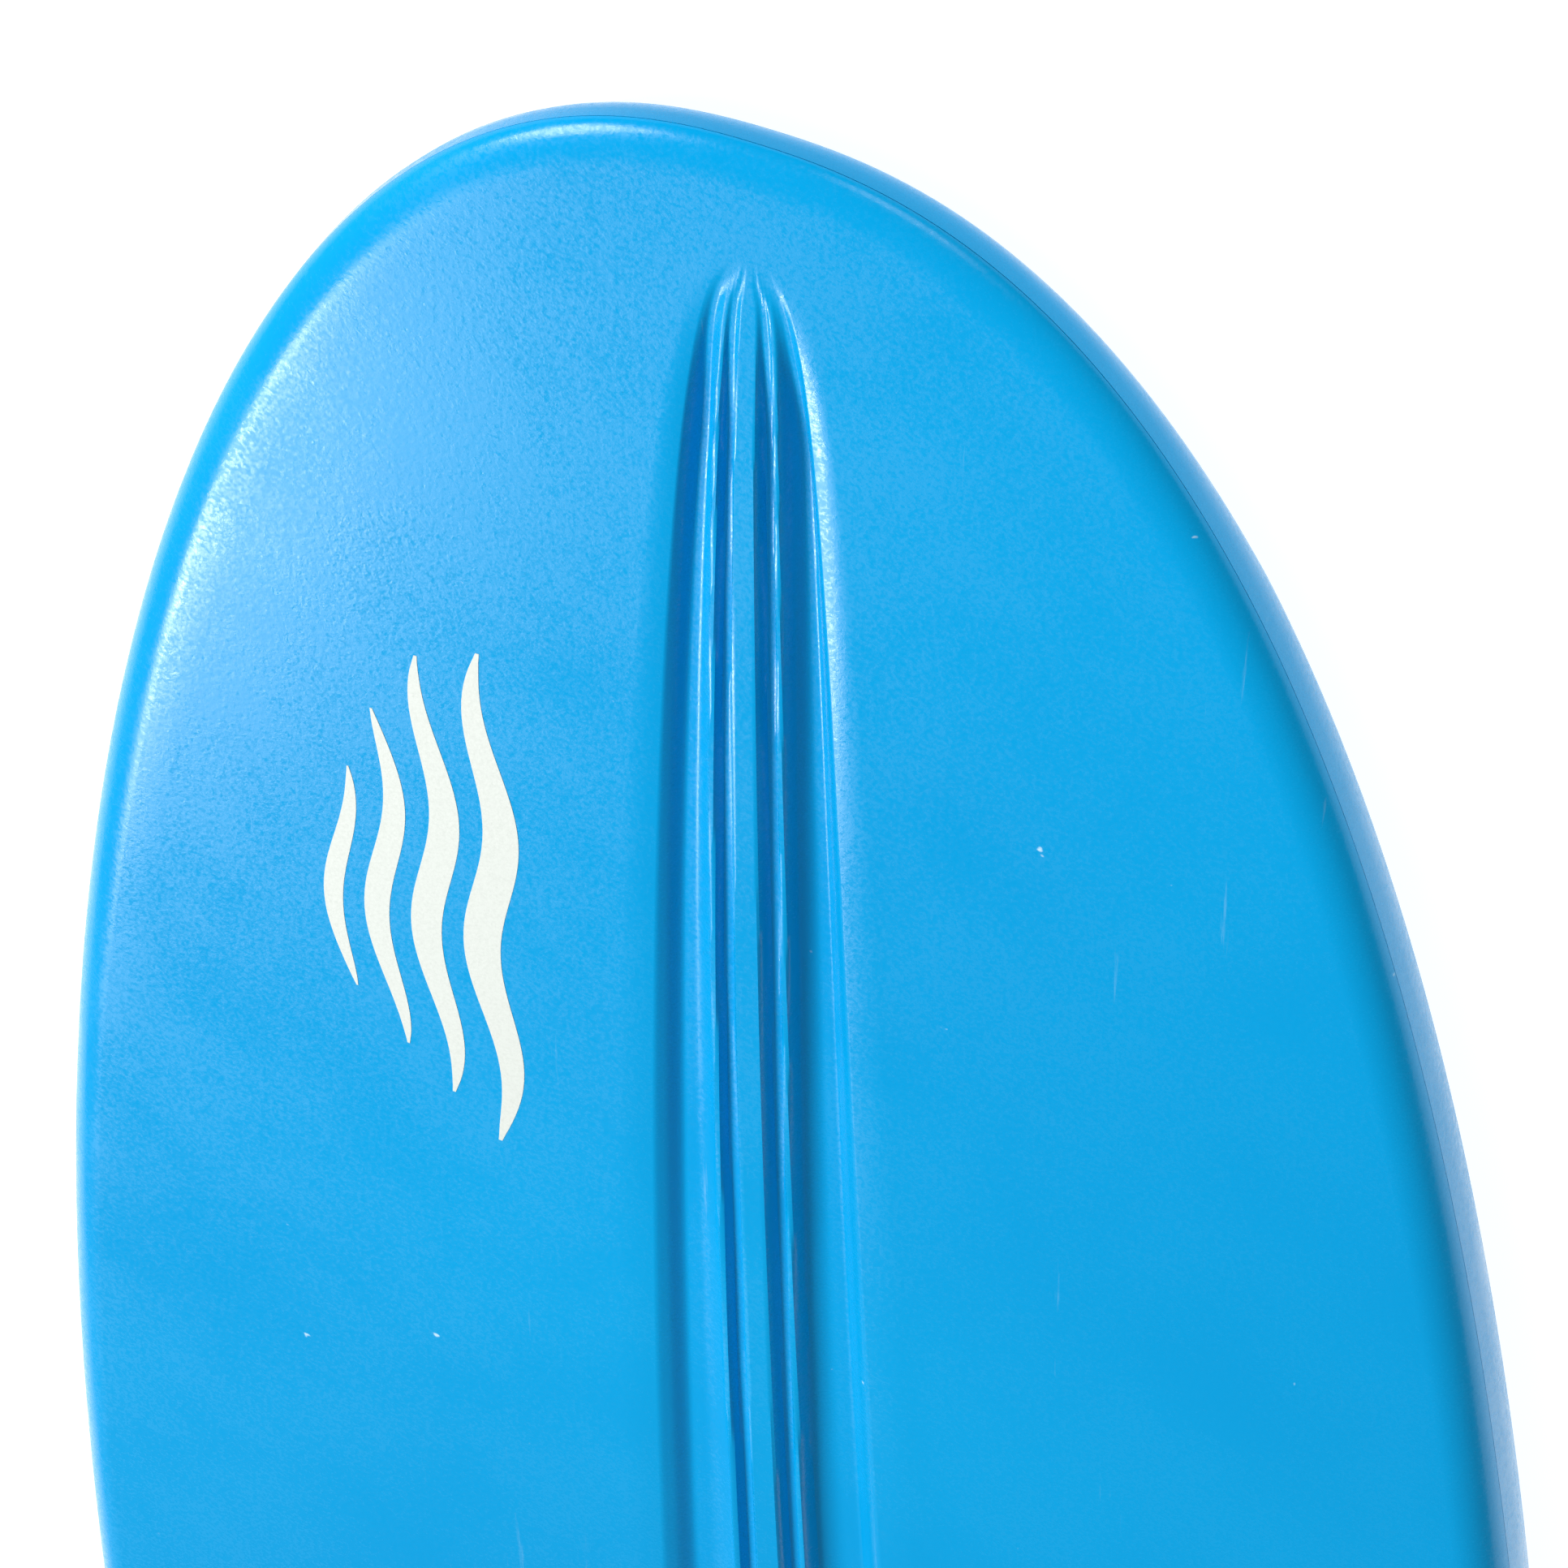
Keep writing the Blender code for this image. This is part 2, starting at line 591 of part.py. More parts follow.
def pad_eye(number, place, finish):
    """A base with two holes under a half-round loop."""
    half_x, half_y = EYE_LENGTH / 2, EYE_WIDTH / 2
    base = loft([rounded_rectangle(half_x, half_y, 0.9 * half_y, z, 4) for z in (GAP, EYE_BASE)])
    eye = make_object(f"pad_eye_{number}", base, place, finish)
    join(eye, make_object("arch", eye_arch(), place))
    for x in (-EYE_SCREW_SPACING / 2, EYE_SCREW_SPACING / 2):
        hole = cylinder(SCREW_RADIUS + GAP, -OVERRUN, OVERRUN, SMALL_ROUND)
        cut(eye, make_object("eye_hole", hole, place @ Matrix.Translation((x, 0, 0))))


def arch_height(x):
    """Height of the strap's middle line over the deck, flat at its ends."""
    half_span = STRAP_SPAN / 2
    rest = 0.5 * STRAP_THICKNESS + GAP
    if abs(x) >= half_span:
        return rest
    return rest + STRAP_RISE * math.cos(math.pi * x / (2 * half_span)) ** 2


def band(half_length, width, thickness, steps):
    """A flat band that follows the strap's arch, as a closed bmesh."""
    sections = []
    for i in range(steps + 1):
        x = -half_length + 2 * half_length * i / steps
        z = arch_height(x)
        low, high, side = z - thickness / 2, z + thickness / 2, width / 2
        edge = 0.3 * thickness
        section = [(x, -side, low + edge), (x, -side + edge, low), (x, side - edge, low), (x, side, low + edge)]
        section += [(x, side, high - edge), (x, side - edge, high), (x, -side + edge, high)]
        sections.append(section + [(x, -side, high - edge)])
    return loft(sections)


def carry_handle(place, webbing, rubber, plastic):
    """A webbing strap over the finger well, with a rubber grip and a clamp plate at each end."""
    half_strap = STRAP_SPAN / 2 + STRAP_END
    strap_body = band(half_strap, STRAP_WIDTH, STRAP_THICKNESS, STRAP_STEPS)
    strap = make_object("handle_strap", strap_body, place, webbing)
    grip_body = band(GRIP_LENGTH / 2, GRIP_WIDTH, GRIP_THICKNESS, STRAP_STEPS // 2)
    grip = make_object("handle_grip", grip_body, place, rubber, smooth=True)
    clearance = 4 * GAP
    tunnel = band(half_strap, STRAP_WIDTH + clearance, STRAP_THICKNESS + clearance, STRAP_STEPS)
    cut(grip, make_object("grip_tunnel", tunnel, place))
    for name, sign in (("front", 1), ("rear", -1)):
        at = place @ Matrix.Translation((sign * CLAMP_PLACE, 0, 0))
        plate = clamp_plate(f"handle_plate_{name}", at, plastic)
        for y in (-HANDLE_SCREW_SPACING / 2, HANDLE_SCREW_SPACING / 2):
            for piece in (plate, strap):
                hole = cylinder(SCREW_RADIUS + 2 * GAP, -OVERRUN, 2 * OVERRUN, SMALL_ROUND)
                cut(piece, make_object("clamp_hole", hole, at @ Matrix.Translation((0, y, 0))))


def clamp_plate(name, place, finish):
    seat = STRAP_THICKNESS + 2 * GAP
    half_x, half_y = HANDLE_PLATE_LENGTH / 2, HANDLE_PLATE_WIDTH / 2
    heights = (seat, seat + HANDLE_PLATE_THICKNESS)
    sections = [rounded_rectangle(half_x, half_y, HANDLE_PLATE_CORNER, z, 3) for z in heights]
    return make_object(name, loft(sections), place, finish)


def handle_spots():
    half = HANDLE_SCREW_SPACING / 2
    return [(x, y) for x in (CLAMP_PLACE, -CLAMP_PLACE) for y in (half, -half)]


def well_shape(grow, low, high):
    """The finger well as a tapered solid, grown sideways by a wall."""
    sections = []
    for z in (low, high):
        narrow = WELL_DRAFT * -z / WELL_DEPTH
        half_x, half_y = WELL_LENGTH / 2 + grow - narrow, WELL_WIDTH / 2 + grow - narrow
        sections.append(rounded_rectangle(half_x, half_y, WELL_CORNER + grow - narrow, z))
    return loft(sections)


def mould_well(deck, core, place):
    """Lets the finger well into the deck shell and clears the foam round it."""
    wall = SHELL_WALL
    join(deck, make_object("well_wall", well_shape(wall, -WELL_DEPTH - wall, -0.5 * wall), place))
    cut(deck, make_object("well_space", well_shape(0.0, -WELL_DEPTH, OVERRUN), place))
    clear = wall + FOAM_CLEARANCE
    room = well_shape(clear, -WELL_DEPTH - clear, OVERRUN)
    cut(core, make_object("well_room", room, place))


def leash_cup(place, deck, core, plastic, steel):
    """A round cup set into the deck, with a bar across it for the leash string."""
    inner = CUP_RADIUS - CUP_WALL
    profile = [(0, -CUP_DEPTH), (CUP_RADIUS, -CUP_DEPTH), (CUP_RADIUS, GAP), (CUP_FLANGE_RADIUS, GAP)]
    profile += [(CUP_FLANGE_RADIUS, 0.5 * CUP_FLANGE), (CUP_FLANGE_RADIUS - 0.5 * CUP_FLANGE, CUP_FLANGE)]
    profile += [(inner, CUP_FLANGE), (inner, -CUP_DEPTH + CUP_WALL), (0, -CUP_DEPTH + CUP_WALL)]
    cup = make_object("leash_cup", lathe(profile), place, plastic, smooth=True)
    bar_frame = place @ Matrix.Translation((0, 0, -0.3 * CUP_DEPTH)) @ Matrix.Rotation(math.pi / 2, 4, "X")
    half_bar = CUP_RADIUS - 0.3 * CUP_WALL
    bar = cylinder(CUP_PIN_RADIUS, -half_bar, half_bar, SMALL_ROUND)
    make_object("leash_bar", bar, bar_frame, steel, smooth=True)
    bar_hole = cylinder(CUP_PIN_RADIUS + GAP, -half_bar - GAP, half_bar + GAP, SMALL_ROUND)
    cut(cup, make_object("bar_hole", bar_hole, bar_frame))
    shell_hole = cylinder(CUP_RADIUS + GAP, -2 * SHELL_WALL, OVERRUN)
    cut(deck, make_object("cup_hole", shell_hole, place))
    room = cylinder(CUP_RADIUS + 2 * GAP, -CUP_DEPTH - POCKET_CLEARANCE, OVERRUN)
    cut(core, make_object("cup_room", room, place))


def vent(place, deck, core, plastic, brass, rubber):
    """A screw plug that closes the board's air vent, its bush and its sealing ring."""
    bore = PLUG_RADIUS + GAP
    loop = [(bore, -BUSH_LENGTH), (BUSH_RADIUS, -BUSH_LENGTH), (BUSH_RADIUS, GAP)]
    loop += [(BUSH_FLANGE_RADIUS, GAP), (BUSH_FLANGE_RADIUS, BUSH_FLANGE), (bore, BUSH_FLANGE)]
    make_object("vent_bush", tube(loop), place, brass, smooth=True)
    seat = BUSH_FLANGE + 2 * RING_WIRE + 2 * GAP
    low, top = seat - PLUG_LENGTH, seat + PLUG_HEAD
    profile = [(0, low), (0.8 * PLUG_RADIUS, low), (PLUG_RADIUS, low + 0.2 * PLUG_RADIUS)]
    profile += [(PLUG_RADIUS, seat), (PLUG_HEAD_RADIUS, seat), (PLUG_HEAD_RADIUS, seat + 0.7 * PLUG_HEAD)]
    profile += [(0.85 * PLUG_HEAD_RADIUS, top), (0, top)]
    plug = make_object("vent_plug", lathe(profile), place, plastic, smooth=True)
    slot_low = (-OVERRUN, -PLUG_SLOT_WIDTH / 2, top - PLUG_SLOT_DEPTH)
    slot = block(slot_low, (OVERRUN, PLUG_SLOT_WIDTH / 2, top + OVERRUN))
    cut(plug, make_object("plug_slot", slot, place))
    middle = BUSH_FLANGE + RING_WIRE + GAP
    angles = [math.tau * i / 8 for i in range(8)]
    wire = [(RING_RADIUS + RING_WIRE * math.cos(a), middle + RING_WIRE * math.sin(a)) for a in angles]
    make_object("vent_o_ring", tube(wire), place, rubber, smooth=True)
    shell_hole = cylinder(BUSH_RADIUS + GAP, -2 * SHELL_WALL, OVERRUN)
    cut(deck, make_object("bush_hole", shell_hole, place))
    room = cylinder(BUSH_RADIUS + 2 * GAP, -BUSH_LENGTH - POCKET_CLEARANCE, OVERRUN)
    cut(core, make_object("bush_room", room, place))


def traction_pad(name, span, half_widths, finish):
    """A foam sheet that lies on the deck between two places along it."""
    sections = []
    for i in range(PAD_ROWS + 1):
        share = i / PAD_ROWS
        s = span[0] + (span[1] - span[0]) * share
        half = half_widths[0] + (half_widths[1] - half_widths[0]) * share
        from_corner = max(PAD_CORNER - min(s - span[0], span[1] - s), 0)
        half -= PAD_CORNER - math.sqrt(PAD_CORNER**2 - from_corner**2)
        low, x = deck_height(s) - GAP, LENGTH / 2 - s
        high = low - PAD_THICKNESS
        sections.append([(x, -half, low), (x, half, low), (x, half, high), (x, -half, high)])
    return make_object(name, loft(sections), finish=finish)


def traction_pads(finish, handle_place):
    names = ("traction_pad_front", "traction_pad_middle", "traction_pad_rear")
    pads = [traction_pad(*spec, finish) for spec in zip(names, PAD_SPANS, PAD_HALF_WIDTHS)]
    half_x = STRAP_SPAN / 2 + STRAP_END + WINDOW_CLEARANCE
    half_y = WELL_WIDTH / 2 + WINDOW_CLEARANCE
    heights = (-OVERRUN, 2 * OVERRUN)
    window = loft([rounded_rectangle(half_x, half_y, WINDOW_CORNER, z) for z in heights])
    cut(pads[1], make_object("handle_window", window, handle_place))


def seat_fin_box(place, hull, core):
    """The opening in the hull shell and the room in the foam for the fin box."""
    half_box, half_side = BOX_LENGTH / 2 + GAP, BOX_WIDTH / 2 + GAP
    for piece, clear in ((hull, GAP), (core, POCKET_CLEARANCE)):
        low = (-half_box, -half_side, -BOX_DEPTH - clear)
        room = block(low, (half_box, half_side, 2 * OVERRUN))
        cut(piece, make_object("box_room", room, place))


def main():
    clear_scene()
    blue = material("blue_polyethylene", (0.0, 0.40, 0.82), 0.40)
    foam = material("white_foam", (0.90, 0.90, 0.88), 0.9)
    black = material("black_plastic", (0.02, 0.02, 0.02), 0.45)
    pad_grey = material("grey_eva_foam", (0.07, 0.08, 0.09), 0.85)
    webbing = material("black_webbing", (0.015, 0.015, 0.015), 0.8)
    rubber = material("black_rubber", (0.02, 0.02, 0.02), 0.7)
    steel = material("stainless_steel", (0.60, 0.60, 0.60), 0.3, 1.0)
    brass = material("brass", (0.72, 0.52, 0.20), 0.35, 1.0)

    def hull_surface(s, y):
        return hull_height(s, y) + relief(s, y)

    def deck_surface(s, y):
        return deck_height(s)

    hull = shell("hull_shell", hull_height, hull_surface, 1, keel_columns, blue)
    deck = shell("deck_shell", deck_surface, deck_surface, -1, plain_columns, blue)
    core = foam_core(foam)

    at_fin = fin_frame()
    seat_fin_box(at_fin, hull, core)
    fin_box(at_fin, black)
    fin(at_fin, black)
    fin_hardware(at_fin, steel, brass)

    at_handle = deck_frame(HANDLE_PLACE, 0)
    mould_well(deck, core, at_handle)
    carry_handle(at_handle, webbing, rubber, black)
    seat = STRAP_THICKNESS + 2 * GAP + HANDLE_PLATE_THICKNESS
    for number, spot in enumerate(handle_spots(), 1):
        drill(deck, core, at_handle, spot)
        screw_and_insert(number, "handle", at_handle, spot, seat, steel, brass)

    for number, (s, y) in enumerate(PAD_EYE_PLACES, 1):
        at_eye = deck_frame(s, y)
        pad_eye(number, at_eye, black)
        for end, x in (("a", EYE_SCREW_SPACING / 2), ("b", -EYE_SCREW_SPACING / 2)):
            drill(deck, core, at_eye, (x, 0))
            screw_and_insert(f"{number}{end}", "pad_eye", at_eye, (x, 0), EYE_BASE, steel, brass)

    leash_cup(deck_frame(CUP_PLACE, 0), deck, core, black, steel)
    vent(deck_frame(VENT_PLACE, 0), deck, core, black, brass, rubber)
    traction_pads(pad_grey, at_handle)


main()
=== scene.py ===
"""Looks of the stand-up paddleboard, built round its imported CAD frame.

The board lies deck down: +X is the nose, +Z the hull's side, and s the distance back from the nose tip.
"""

import json
import math

import bmesh
import bpy
from mathutils import Matrix, Vector


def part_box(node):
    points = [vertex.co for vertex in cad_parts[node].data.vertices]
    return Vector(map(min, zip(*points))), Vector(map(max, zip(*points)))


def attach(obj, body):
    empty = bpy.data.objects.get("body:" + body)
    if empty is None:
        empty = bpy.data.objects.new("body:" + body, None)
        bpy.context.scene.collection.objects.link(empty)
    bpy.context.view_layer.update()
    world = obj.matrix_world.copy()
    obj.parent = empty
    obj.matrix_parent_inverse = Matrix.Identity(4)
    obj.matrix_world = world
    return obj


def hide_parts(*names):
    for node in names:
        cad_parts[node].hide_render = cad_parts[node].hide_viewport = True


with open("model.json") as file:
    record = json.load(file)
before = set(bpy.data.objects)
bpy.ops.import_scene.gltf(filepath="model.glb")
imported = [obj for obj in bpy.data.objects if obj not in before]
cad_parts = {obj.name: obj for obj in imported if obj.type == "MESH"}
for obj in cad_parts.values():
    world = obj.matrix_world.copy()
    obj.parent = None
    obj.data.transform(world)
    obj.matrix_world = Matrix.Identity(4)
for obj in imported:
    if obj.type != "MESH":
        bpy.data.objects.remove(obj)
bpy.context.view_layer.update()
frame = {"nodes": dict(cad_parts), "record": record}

SHELL_LOW, SHELL_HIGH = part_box("hull_shell")
LENGTH = SHELL_HIGH.x - SHELL_LOW.x
HALF_WIDTH = (SHELL_HIGH.y - SHELL_LOW.y) / 2

# Board, as in the CAD source
THICKNESS = 0.125
SHELL_WALL = 0.004
HULL_LEVEL = 0.1565
HULL_CROWN = 0.006
NOSE_ROCKER, NOSE_ROCKER_RUN, NOSE_ROCKER_POWER = 0.110, 1.5, 2.2
TAIL_ROCKER, TAIL_ROCKER_RUN = 0.068, 1.2
NOSE_THINNING, NOSE_THINNING_RUN = 0.068, 1.3
TAIL_THINNING, TAIL_THINNING_RUN = 0.026, 0.9
NOSE_RUN, NOSE_TAPER, NOSE_BLUNTNESS = 1.6, 2.7, 2.3
TAIL_RUN, TAIL_TAPER, TAIL_BLUNTNESS = 1.3, 2.2, 2.3
SEAM_SHARE = 0.85
HULL_ROUND, DECK_ROUND = 0.020, 0.100
GAP = 0.0003

# Channel and keel, as in the CAD source
CHANNEL_START, CHANNEL_FULL, CHANNEL_HALF, CHANNEL_POWER = 0.060, 1.10, 0.0615, 0.30
CREST_START, CREST_FULL, CREST_HALF, CREST_POWER = 0.076, 0.48, 0.0173, 0.15
CHANNEL_DEPTH = 0.009
CREST_HEIGHT = 0.002
VALLEY_DEPTH = 0.003
RIB_HEIGHT = 0.004
NOSE_FADE = 0.12
CHANNEL_END, TAIL_FADE = 2.42, 0.22
NARROWEST_CHANNEL = 0.012
NARROWEST_CREST = 0.3  # share of the channel

# Fineness of the new meshes
STATIONS = 240
RAIL_STEPS = 12
CHANNEL_COLUMNS = 44
OUTER_COLUMNS = 16
PLAIN_COLUMNS = 24
CORNER_STEPS = 10
ROUND_SIDES, SMALL_ROUND_SIDES = 48, 24
FIN_STEPS, FOIL_STEPS = 44, 20
PAD_ROWS = 90
STRAP_STEPS, STRAP_POINTS_PER_RIB = 90, 6
GRIP_STEPS = 120
STRIPE_STEPS = 60
OVERRUN = 0.01  # how far a cutter reaches past the wall it opens

# Fittings, as in the CAD source
FIN_PLACE = 2.69
BOX_LENGTH, BOX_WIDTH, BOX_DEPTH = 0.275, 0.026, 0.034
TAB_BACK, TAB_FRONT, TAB_TIP = -0.092, 0.058, 0.080
TAB_DEPTH, TAB_THICKNESS = 0.024, 0.009
TIP_TAB_TOP, TIP_TAB_BOTTOM = 0.0065, 0.0112
TRACK_TOP, TRACK_BOTTOM = 0.0118, 0.0166
PIN_PLACE, PIN_RADIUS = -0.080, 0.0019
PLATE_PLACE, FIN_SCREW_RADIUS = 0.069, 0.0020
FIN_HEIGHT = 0.215
FIN_THICKNESS, FIN_TIP_THICKNESS = 0.008, 0.0014
FIN_RAKE, FIN_RAKE_POWER = 0.221, 1.9
FIN_BELLY, FIN_TIP_SWEEP = 0.030, 0.085
FIN_SETBACK = 0.001
PAD_THICKNESS = 0.005
PAD_CORNER = 0.03
PAD_SPANS = ((1.200, 1.390), (1.396, 1.764), (1.770, 2.620))
PAD_HALF_WIDTHS = ((0.215, 0.275), (0.275, 0.275), (0.275, 0.200))
PAD_NAMES = ("traction_pad_front", "traction_pad_middle", "traction_pad_rear")
HANDLE_PLACE = 1.58
WELL_LENGTH, WELL_WIDTH, WELL_DEPTH = 0.132, 0.096, 0.034
WELL_CORNER, WELL_DRAFT = 0.024, 0.008
WINDOW_CLEARANCE, WINDOW_CORNER = 0.006, 0.020
STRAP_SPAN, STRAP_WIDTH, STRAP_THICKNESS, STRAP_RISE = 0.196, 0.030, 0.0026, 0.014
STRAP_END = 0.016
CLAMP_PLACE = STRAP_SPAN / 2 + STRAP_END / 2
GRIP_LENGTH, GRIP_WIDTH, GRIP_THICKNESS = 0.110, 0.040, 0.012
HANDLE_SCREW_SPACING, EYE_SCREW_SPACING = 0.016, 0.042
PAD_EYE_PLACES = ((0.56, 0.150), (0.56, -0.150), (0.90, 0.200), (0.90, -0.200))
SCREW_RADIUS = 0.0021
CUP_PLACE, CUP_RADIUS = LENGTH - 0.29, 0.0170
VENT_PLACE, BUSH_RADIUS = 1.04, 0.0095

# Detail added to the fittings' looks
FIN_LIFT = 7 * GAP  # the blade's lowest full section, over the hull
FIN_ROOT_SINK = 0.2 * TAB_DEPTH
FOIL_NOSE, FOIL_FALL, FOIL_TAIL, FOIL_FULLNESS = 2.6, 0.35, 0.10, 1.45
PAD_BEVEL = 0.3 * PAD_THICKNESS
GROOVE_SPACING, GROOVE_HALF, GROOVE_DEPTH, GROOVE_MARGIN = 0.022, 0.0016, 0.0016, 0.018
GROOVE_FLOOR = 0.4 * GROOVE_HALF
GROOVE_STOP, GROOVE_FADE = 0.4 * GROOVE_MARGIN, 0.6 * GROOVE_MARGIN
STRAP_RIBS, STRAP_RIB_HEIGHT = 9, 0.12 * STRAP_THICKNESS
STRAP_EDGE = 0.3 * STRAP_THICKNESS
GRIP_RINGS, GRIP_RING_HEIGHT, GRIP_RING_FADE = 15, 0.0009, 0.01
GRIP_END_ROUND, GRIP_END_RUN = 0.0024, 0.004
GRIP_CORNER, GRIP_HOLE_CORNER = 0.85, 0.4  # shares of the half thickness
GRIP_CLEARANCE = 4 * GAP

# Printed mark: wave stripes beside the keel, each (lateral place, start, end, half width)
STRIPES = (
    (0.128, 0.350, 0.690, 0.0095),
    (0.156, 0.365, 0.665, 0.0080),
    (0.181, 0.410, 0.640, 0.0065),
    (0.203, 0.455, 0.610, 0.0050),
)
STRIPE_SWAY, STRIPE_WAVE = 0.006, 0.17
STRIPE_TIP, STRIPE_TAPER = 0.02, 0.6
INK_PROUD, INK_SUNK = 0.0002, 0.0003

# Camera and light
CAMERA_PLACE = (4.8558, -1.2388, 2.4532)
CAMERA_TURN = (-55.658, 23.484, -93.040)
CAMERA_LENS = 239.3
FLOOR_RINGS = (
    # radius, rise: flat, then a rim that curves up
    (36.0, 0.0),
    (40.0, 0.6),
    (42.0, 2.5),
    (43.0, 6.0),
)
FLOOR_SIDES = 64
FLOOR_GLOW = 0.95  # the floor is lit like a light table, which keeps shadows faint
WORLD_LIGHT = 0.14
LIGHTS = (
    # name, place, what it points at, side of its square, watts
    ("key", (2.2, 3.0, 3.4), (1.1, 0.0, 0.1), 1.6, 232),
    ("front", (5.5, -1.0, 5.5), (0.9, 0.0, 0.1), 3.0, 158),
    ("sheen", (-2.62, 2.95, 4.12), (1.225, 0.33, 0.085), 1.05, 115),
)


def smooth_step(value):
    value = min(max(value, 0.0), 1.0)
    return value * value * (3 - 2 * value)


# Shape of the board


def half_width(s):
    to_nose = min(s / NOSE_RUN, 1.0)
    to_tail = min((LENGTH - s) / TAIL_RUN, 1.0)
    nose = (1 - (1 - to_nose) ** NOSE_TAPER) ** (1 / NOSE_BLUNTNESS)
    tail = (1 - (1 - to_tail) ** TAIL_TAPER) ** (1 / TAIL_BLUNTNESS)
    return HALF_WIDTH * nose * tail


def hull_line(s):
    nose = NOSE_ROCKER * max(1 - s / NOSE_ROCKER_RUN, 0) ** NOSE_ROCKER_POWER
    tail = TAIL_ROCKER * max(1 - (LENGTH - s) / TAIL_ROCKER_RUN, 0) ** 2
    return HULL_LEVEL - nose - tail


def deck_height(s, y=0.0):
    nose = NOSE_THINNING * max(1 - s / NOSE_THINNING_RUN, 0) ** 2
    tail = TAIL_THINNING * max(1 - (LENGTH - s) / TAIL_THINNING_RUN, 0) ** 2
    return max(hull_line(s) - THICKNESS + nose + tail, 0)


def hull_height(s, y):
    return hull_line(s) - HULL_CROWN * (y / HALF_WIDTH) ** 2


def seam_height(s, y):
    return deck_height(s) + SEAM_SHARE * (hull_height(s, y) - deck_height(s))


def channel_half(s):
    along = min(max(s - CHANNEL_START, 0) / (CHANNEL_FULL - CHANNEL_START), 1)
    return max(CHANNEL_HALF * along**CHANNEL_POWER, NARROWEST_CHANNEL)


def crest_half(s):
    along = min(max(s - CREST_START, 0) / (CREST_FULL - CREST_START), 1)
    return max(CREST_HALF * along**CREST_POWER, NARROWEST_CREST * channel_half(s))


def channel_profile(channel, crest):
    """(distance from the middle, height) of the channel's section, from its middle to its edge."""
    floor = channel - crest
    return (
        (0, RIB_HEIGHT),
        (0.32 * crest, RIB_HEIGHT),
        (0.56 * crest, -VALLEY_DEPTH),
        (0.78 * crest, -VALLEY_DEPTH),
        (0.94 * crest, CREST_HEIGHT),
        (1.06 * crest, CREST_HEIGHT),
        (1.30 * crest, -0.6 * CHANNEL_DEPTH),
        (crest + 0.45 * floor, -CHANNEL_DEPTH),
        (crest + 0.62 * floor, -CHANNEL_DEPTH),
        (crest + 0.85 * floor, -0.3 * CHANNEL_DEPTH),
        (channel, 0),
    )


def knot_slopes(profile):
    """Slopes at a profile's points that let a cubic through them rise and fall only where they do."""
    steps = [(b[1] - a[1]) / (b[0] - a[0]) for a, b in zip(profile, profile[1:])]
    inner = [2 * a * b / (a + b) if a * b > 0 else 0.0 for a, b in zip(steps, steps[1:])]
    return [0.0, *inner, 0.0]


def relief(s, y):
    """Height of the channel and keel over the plain hull, with rounded edges."""
    fade = smooth_step((s - CHANNEL_START) / NOSE_FADE) * smooth_step((CHANNEL_END - s) / TAIL_FADE)
    profile = channel_profile(channel_half(s), crest_half(s))
    slopes = knot_slopes(profile)
    for i, ((near, start), (far, end)) in enumerate(zip(profile, profile[1:])):
        if near <= abs(y) < far:
            span = far - near
            t = (abs(y) - near) / span
            bend = t * (1 - t) * ((1 - t) * slopes[i] - t * slopes[i + 1]) * span
            return fade * (start + (end - start) * smooth_step(t) + bend)
    return 0.0


def keel_columns(s, reach):
    channel = min(channel_half(s), 0.5 * reach)
    inside = [channel * i / CHANNEL_COLUMNS for i in range(CHANNEL_COLUMNS + 1)]
    return inside + [channel + (reach - channel) * i / OUTER_COLUMNS for i in range(1, OUTER_COLUMNS)]


def plain_columns(s, reach):
    return [reach * i / PLAIN_COLUMNS for i in range(PLAIN_COLUMNS)]


# Mesh helpers


def make_object(name, bm, matrix=None):
    """An object from a closed bmesh, with its faces turned outwards."""
    if matrix is not None:
        bmesh.ops.transform(bm, matrix=matrix, verts=bm.verts)
    bmesh.ops.recalc_face_normals(bm, faces=bm.faces)
    if bm.calc_volume(signed=True) < 0:
        bmesh.ops.reverse_faces(bm, faces=bm.faces)
    mesh = bpy.data.meshes.new(name)
    bm.to_mesh(mesh)
    bm.free()
    obj = bpy.data.objects.new(name, mesh)
    bpy.context.scene.collection.objects.link(obj)
    return obj


def apply_boolean(target, other, operation):
    modifier = target.modifiers.new(operation.title(), "BOOLEAN")
    modifier.operation = operation
    modifier.solver = "EXACT"
    modifier.object = other
    graph = bpy.context.evaluated_depsgraph_get()
    result = bpy.data.meshes.new_from_object(target.evaluated_get(graph))
    target.modifiers.clear()
    target.data = result
    bpy.data.objects.remove(other, do_unlink=True)


def merged(*parts):
    """One bmesh from several (bmesh, matrix) pairs that don't touch each other."""
    whole = bmesh.new()
    for bm, matrix in parts:
        bmesh.ops.transform(bm, matrix=matrix, verts=bm.verts)
        mesh = bpy.data.meshes.new("part")
        bm.to_mesh(mesh)
        bm.free()
        whole.from_mesh(mesh)
        bpy.data.meshes.remove(mesh)
    return whole


def smooth_by_angle(obj, degrees):
    """Smooth shading, with the edges that bend more than an angle kept sharp."""
    mesh = obj.data
    mesh.shade_smooth()
    mesh.set_sharp_from_angle(angle=math.radians(degrees))


def bridge(bm, first, second):
    """Faces between two closed rings of vertices, either of which may be a single point."""
    count = max(len(first), len(second))
    for i in range(count):
        corners = [first[i % len(first)], first[(i + 1) % len(first)]]
        corners += [second[(i + 1) % len(second)], second[i % len(second)]]
        bm.faces.new(list(dict.fromkeys(corners)))


def block(low, high):
    bm = bmesh.new()
    bmesh.ops.create_cube(bm, size=1.0)
    for vert in bm.verts:
        vert.co = Vector(low[i] if vert.co[i] < 0 else high[i] for i in range(3))
    return bm


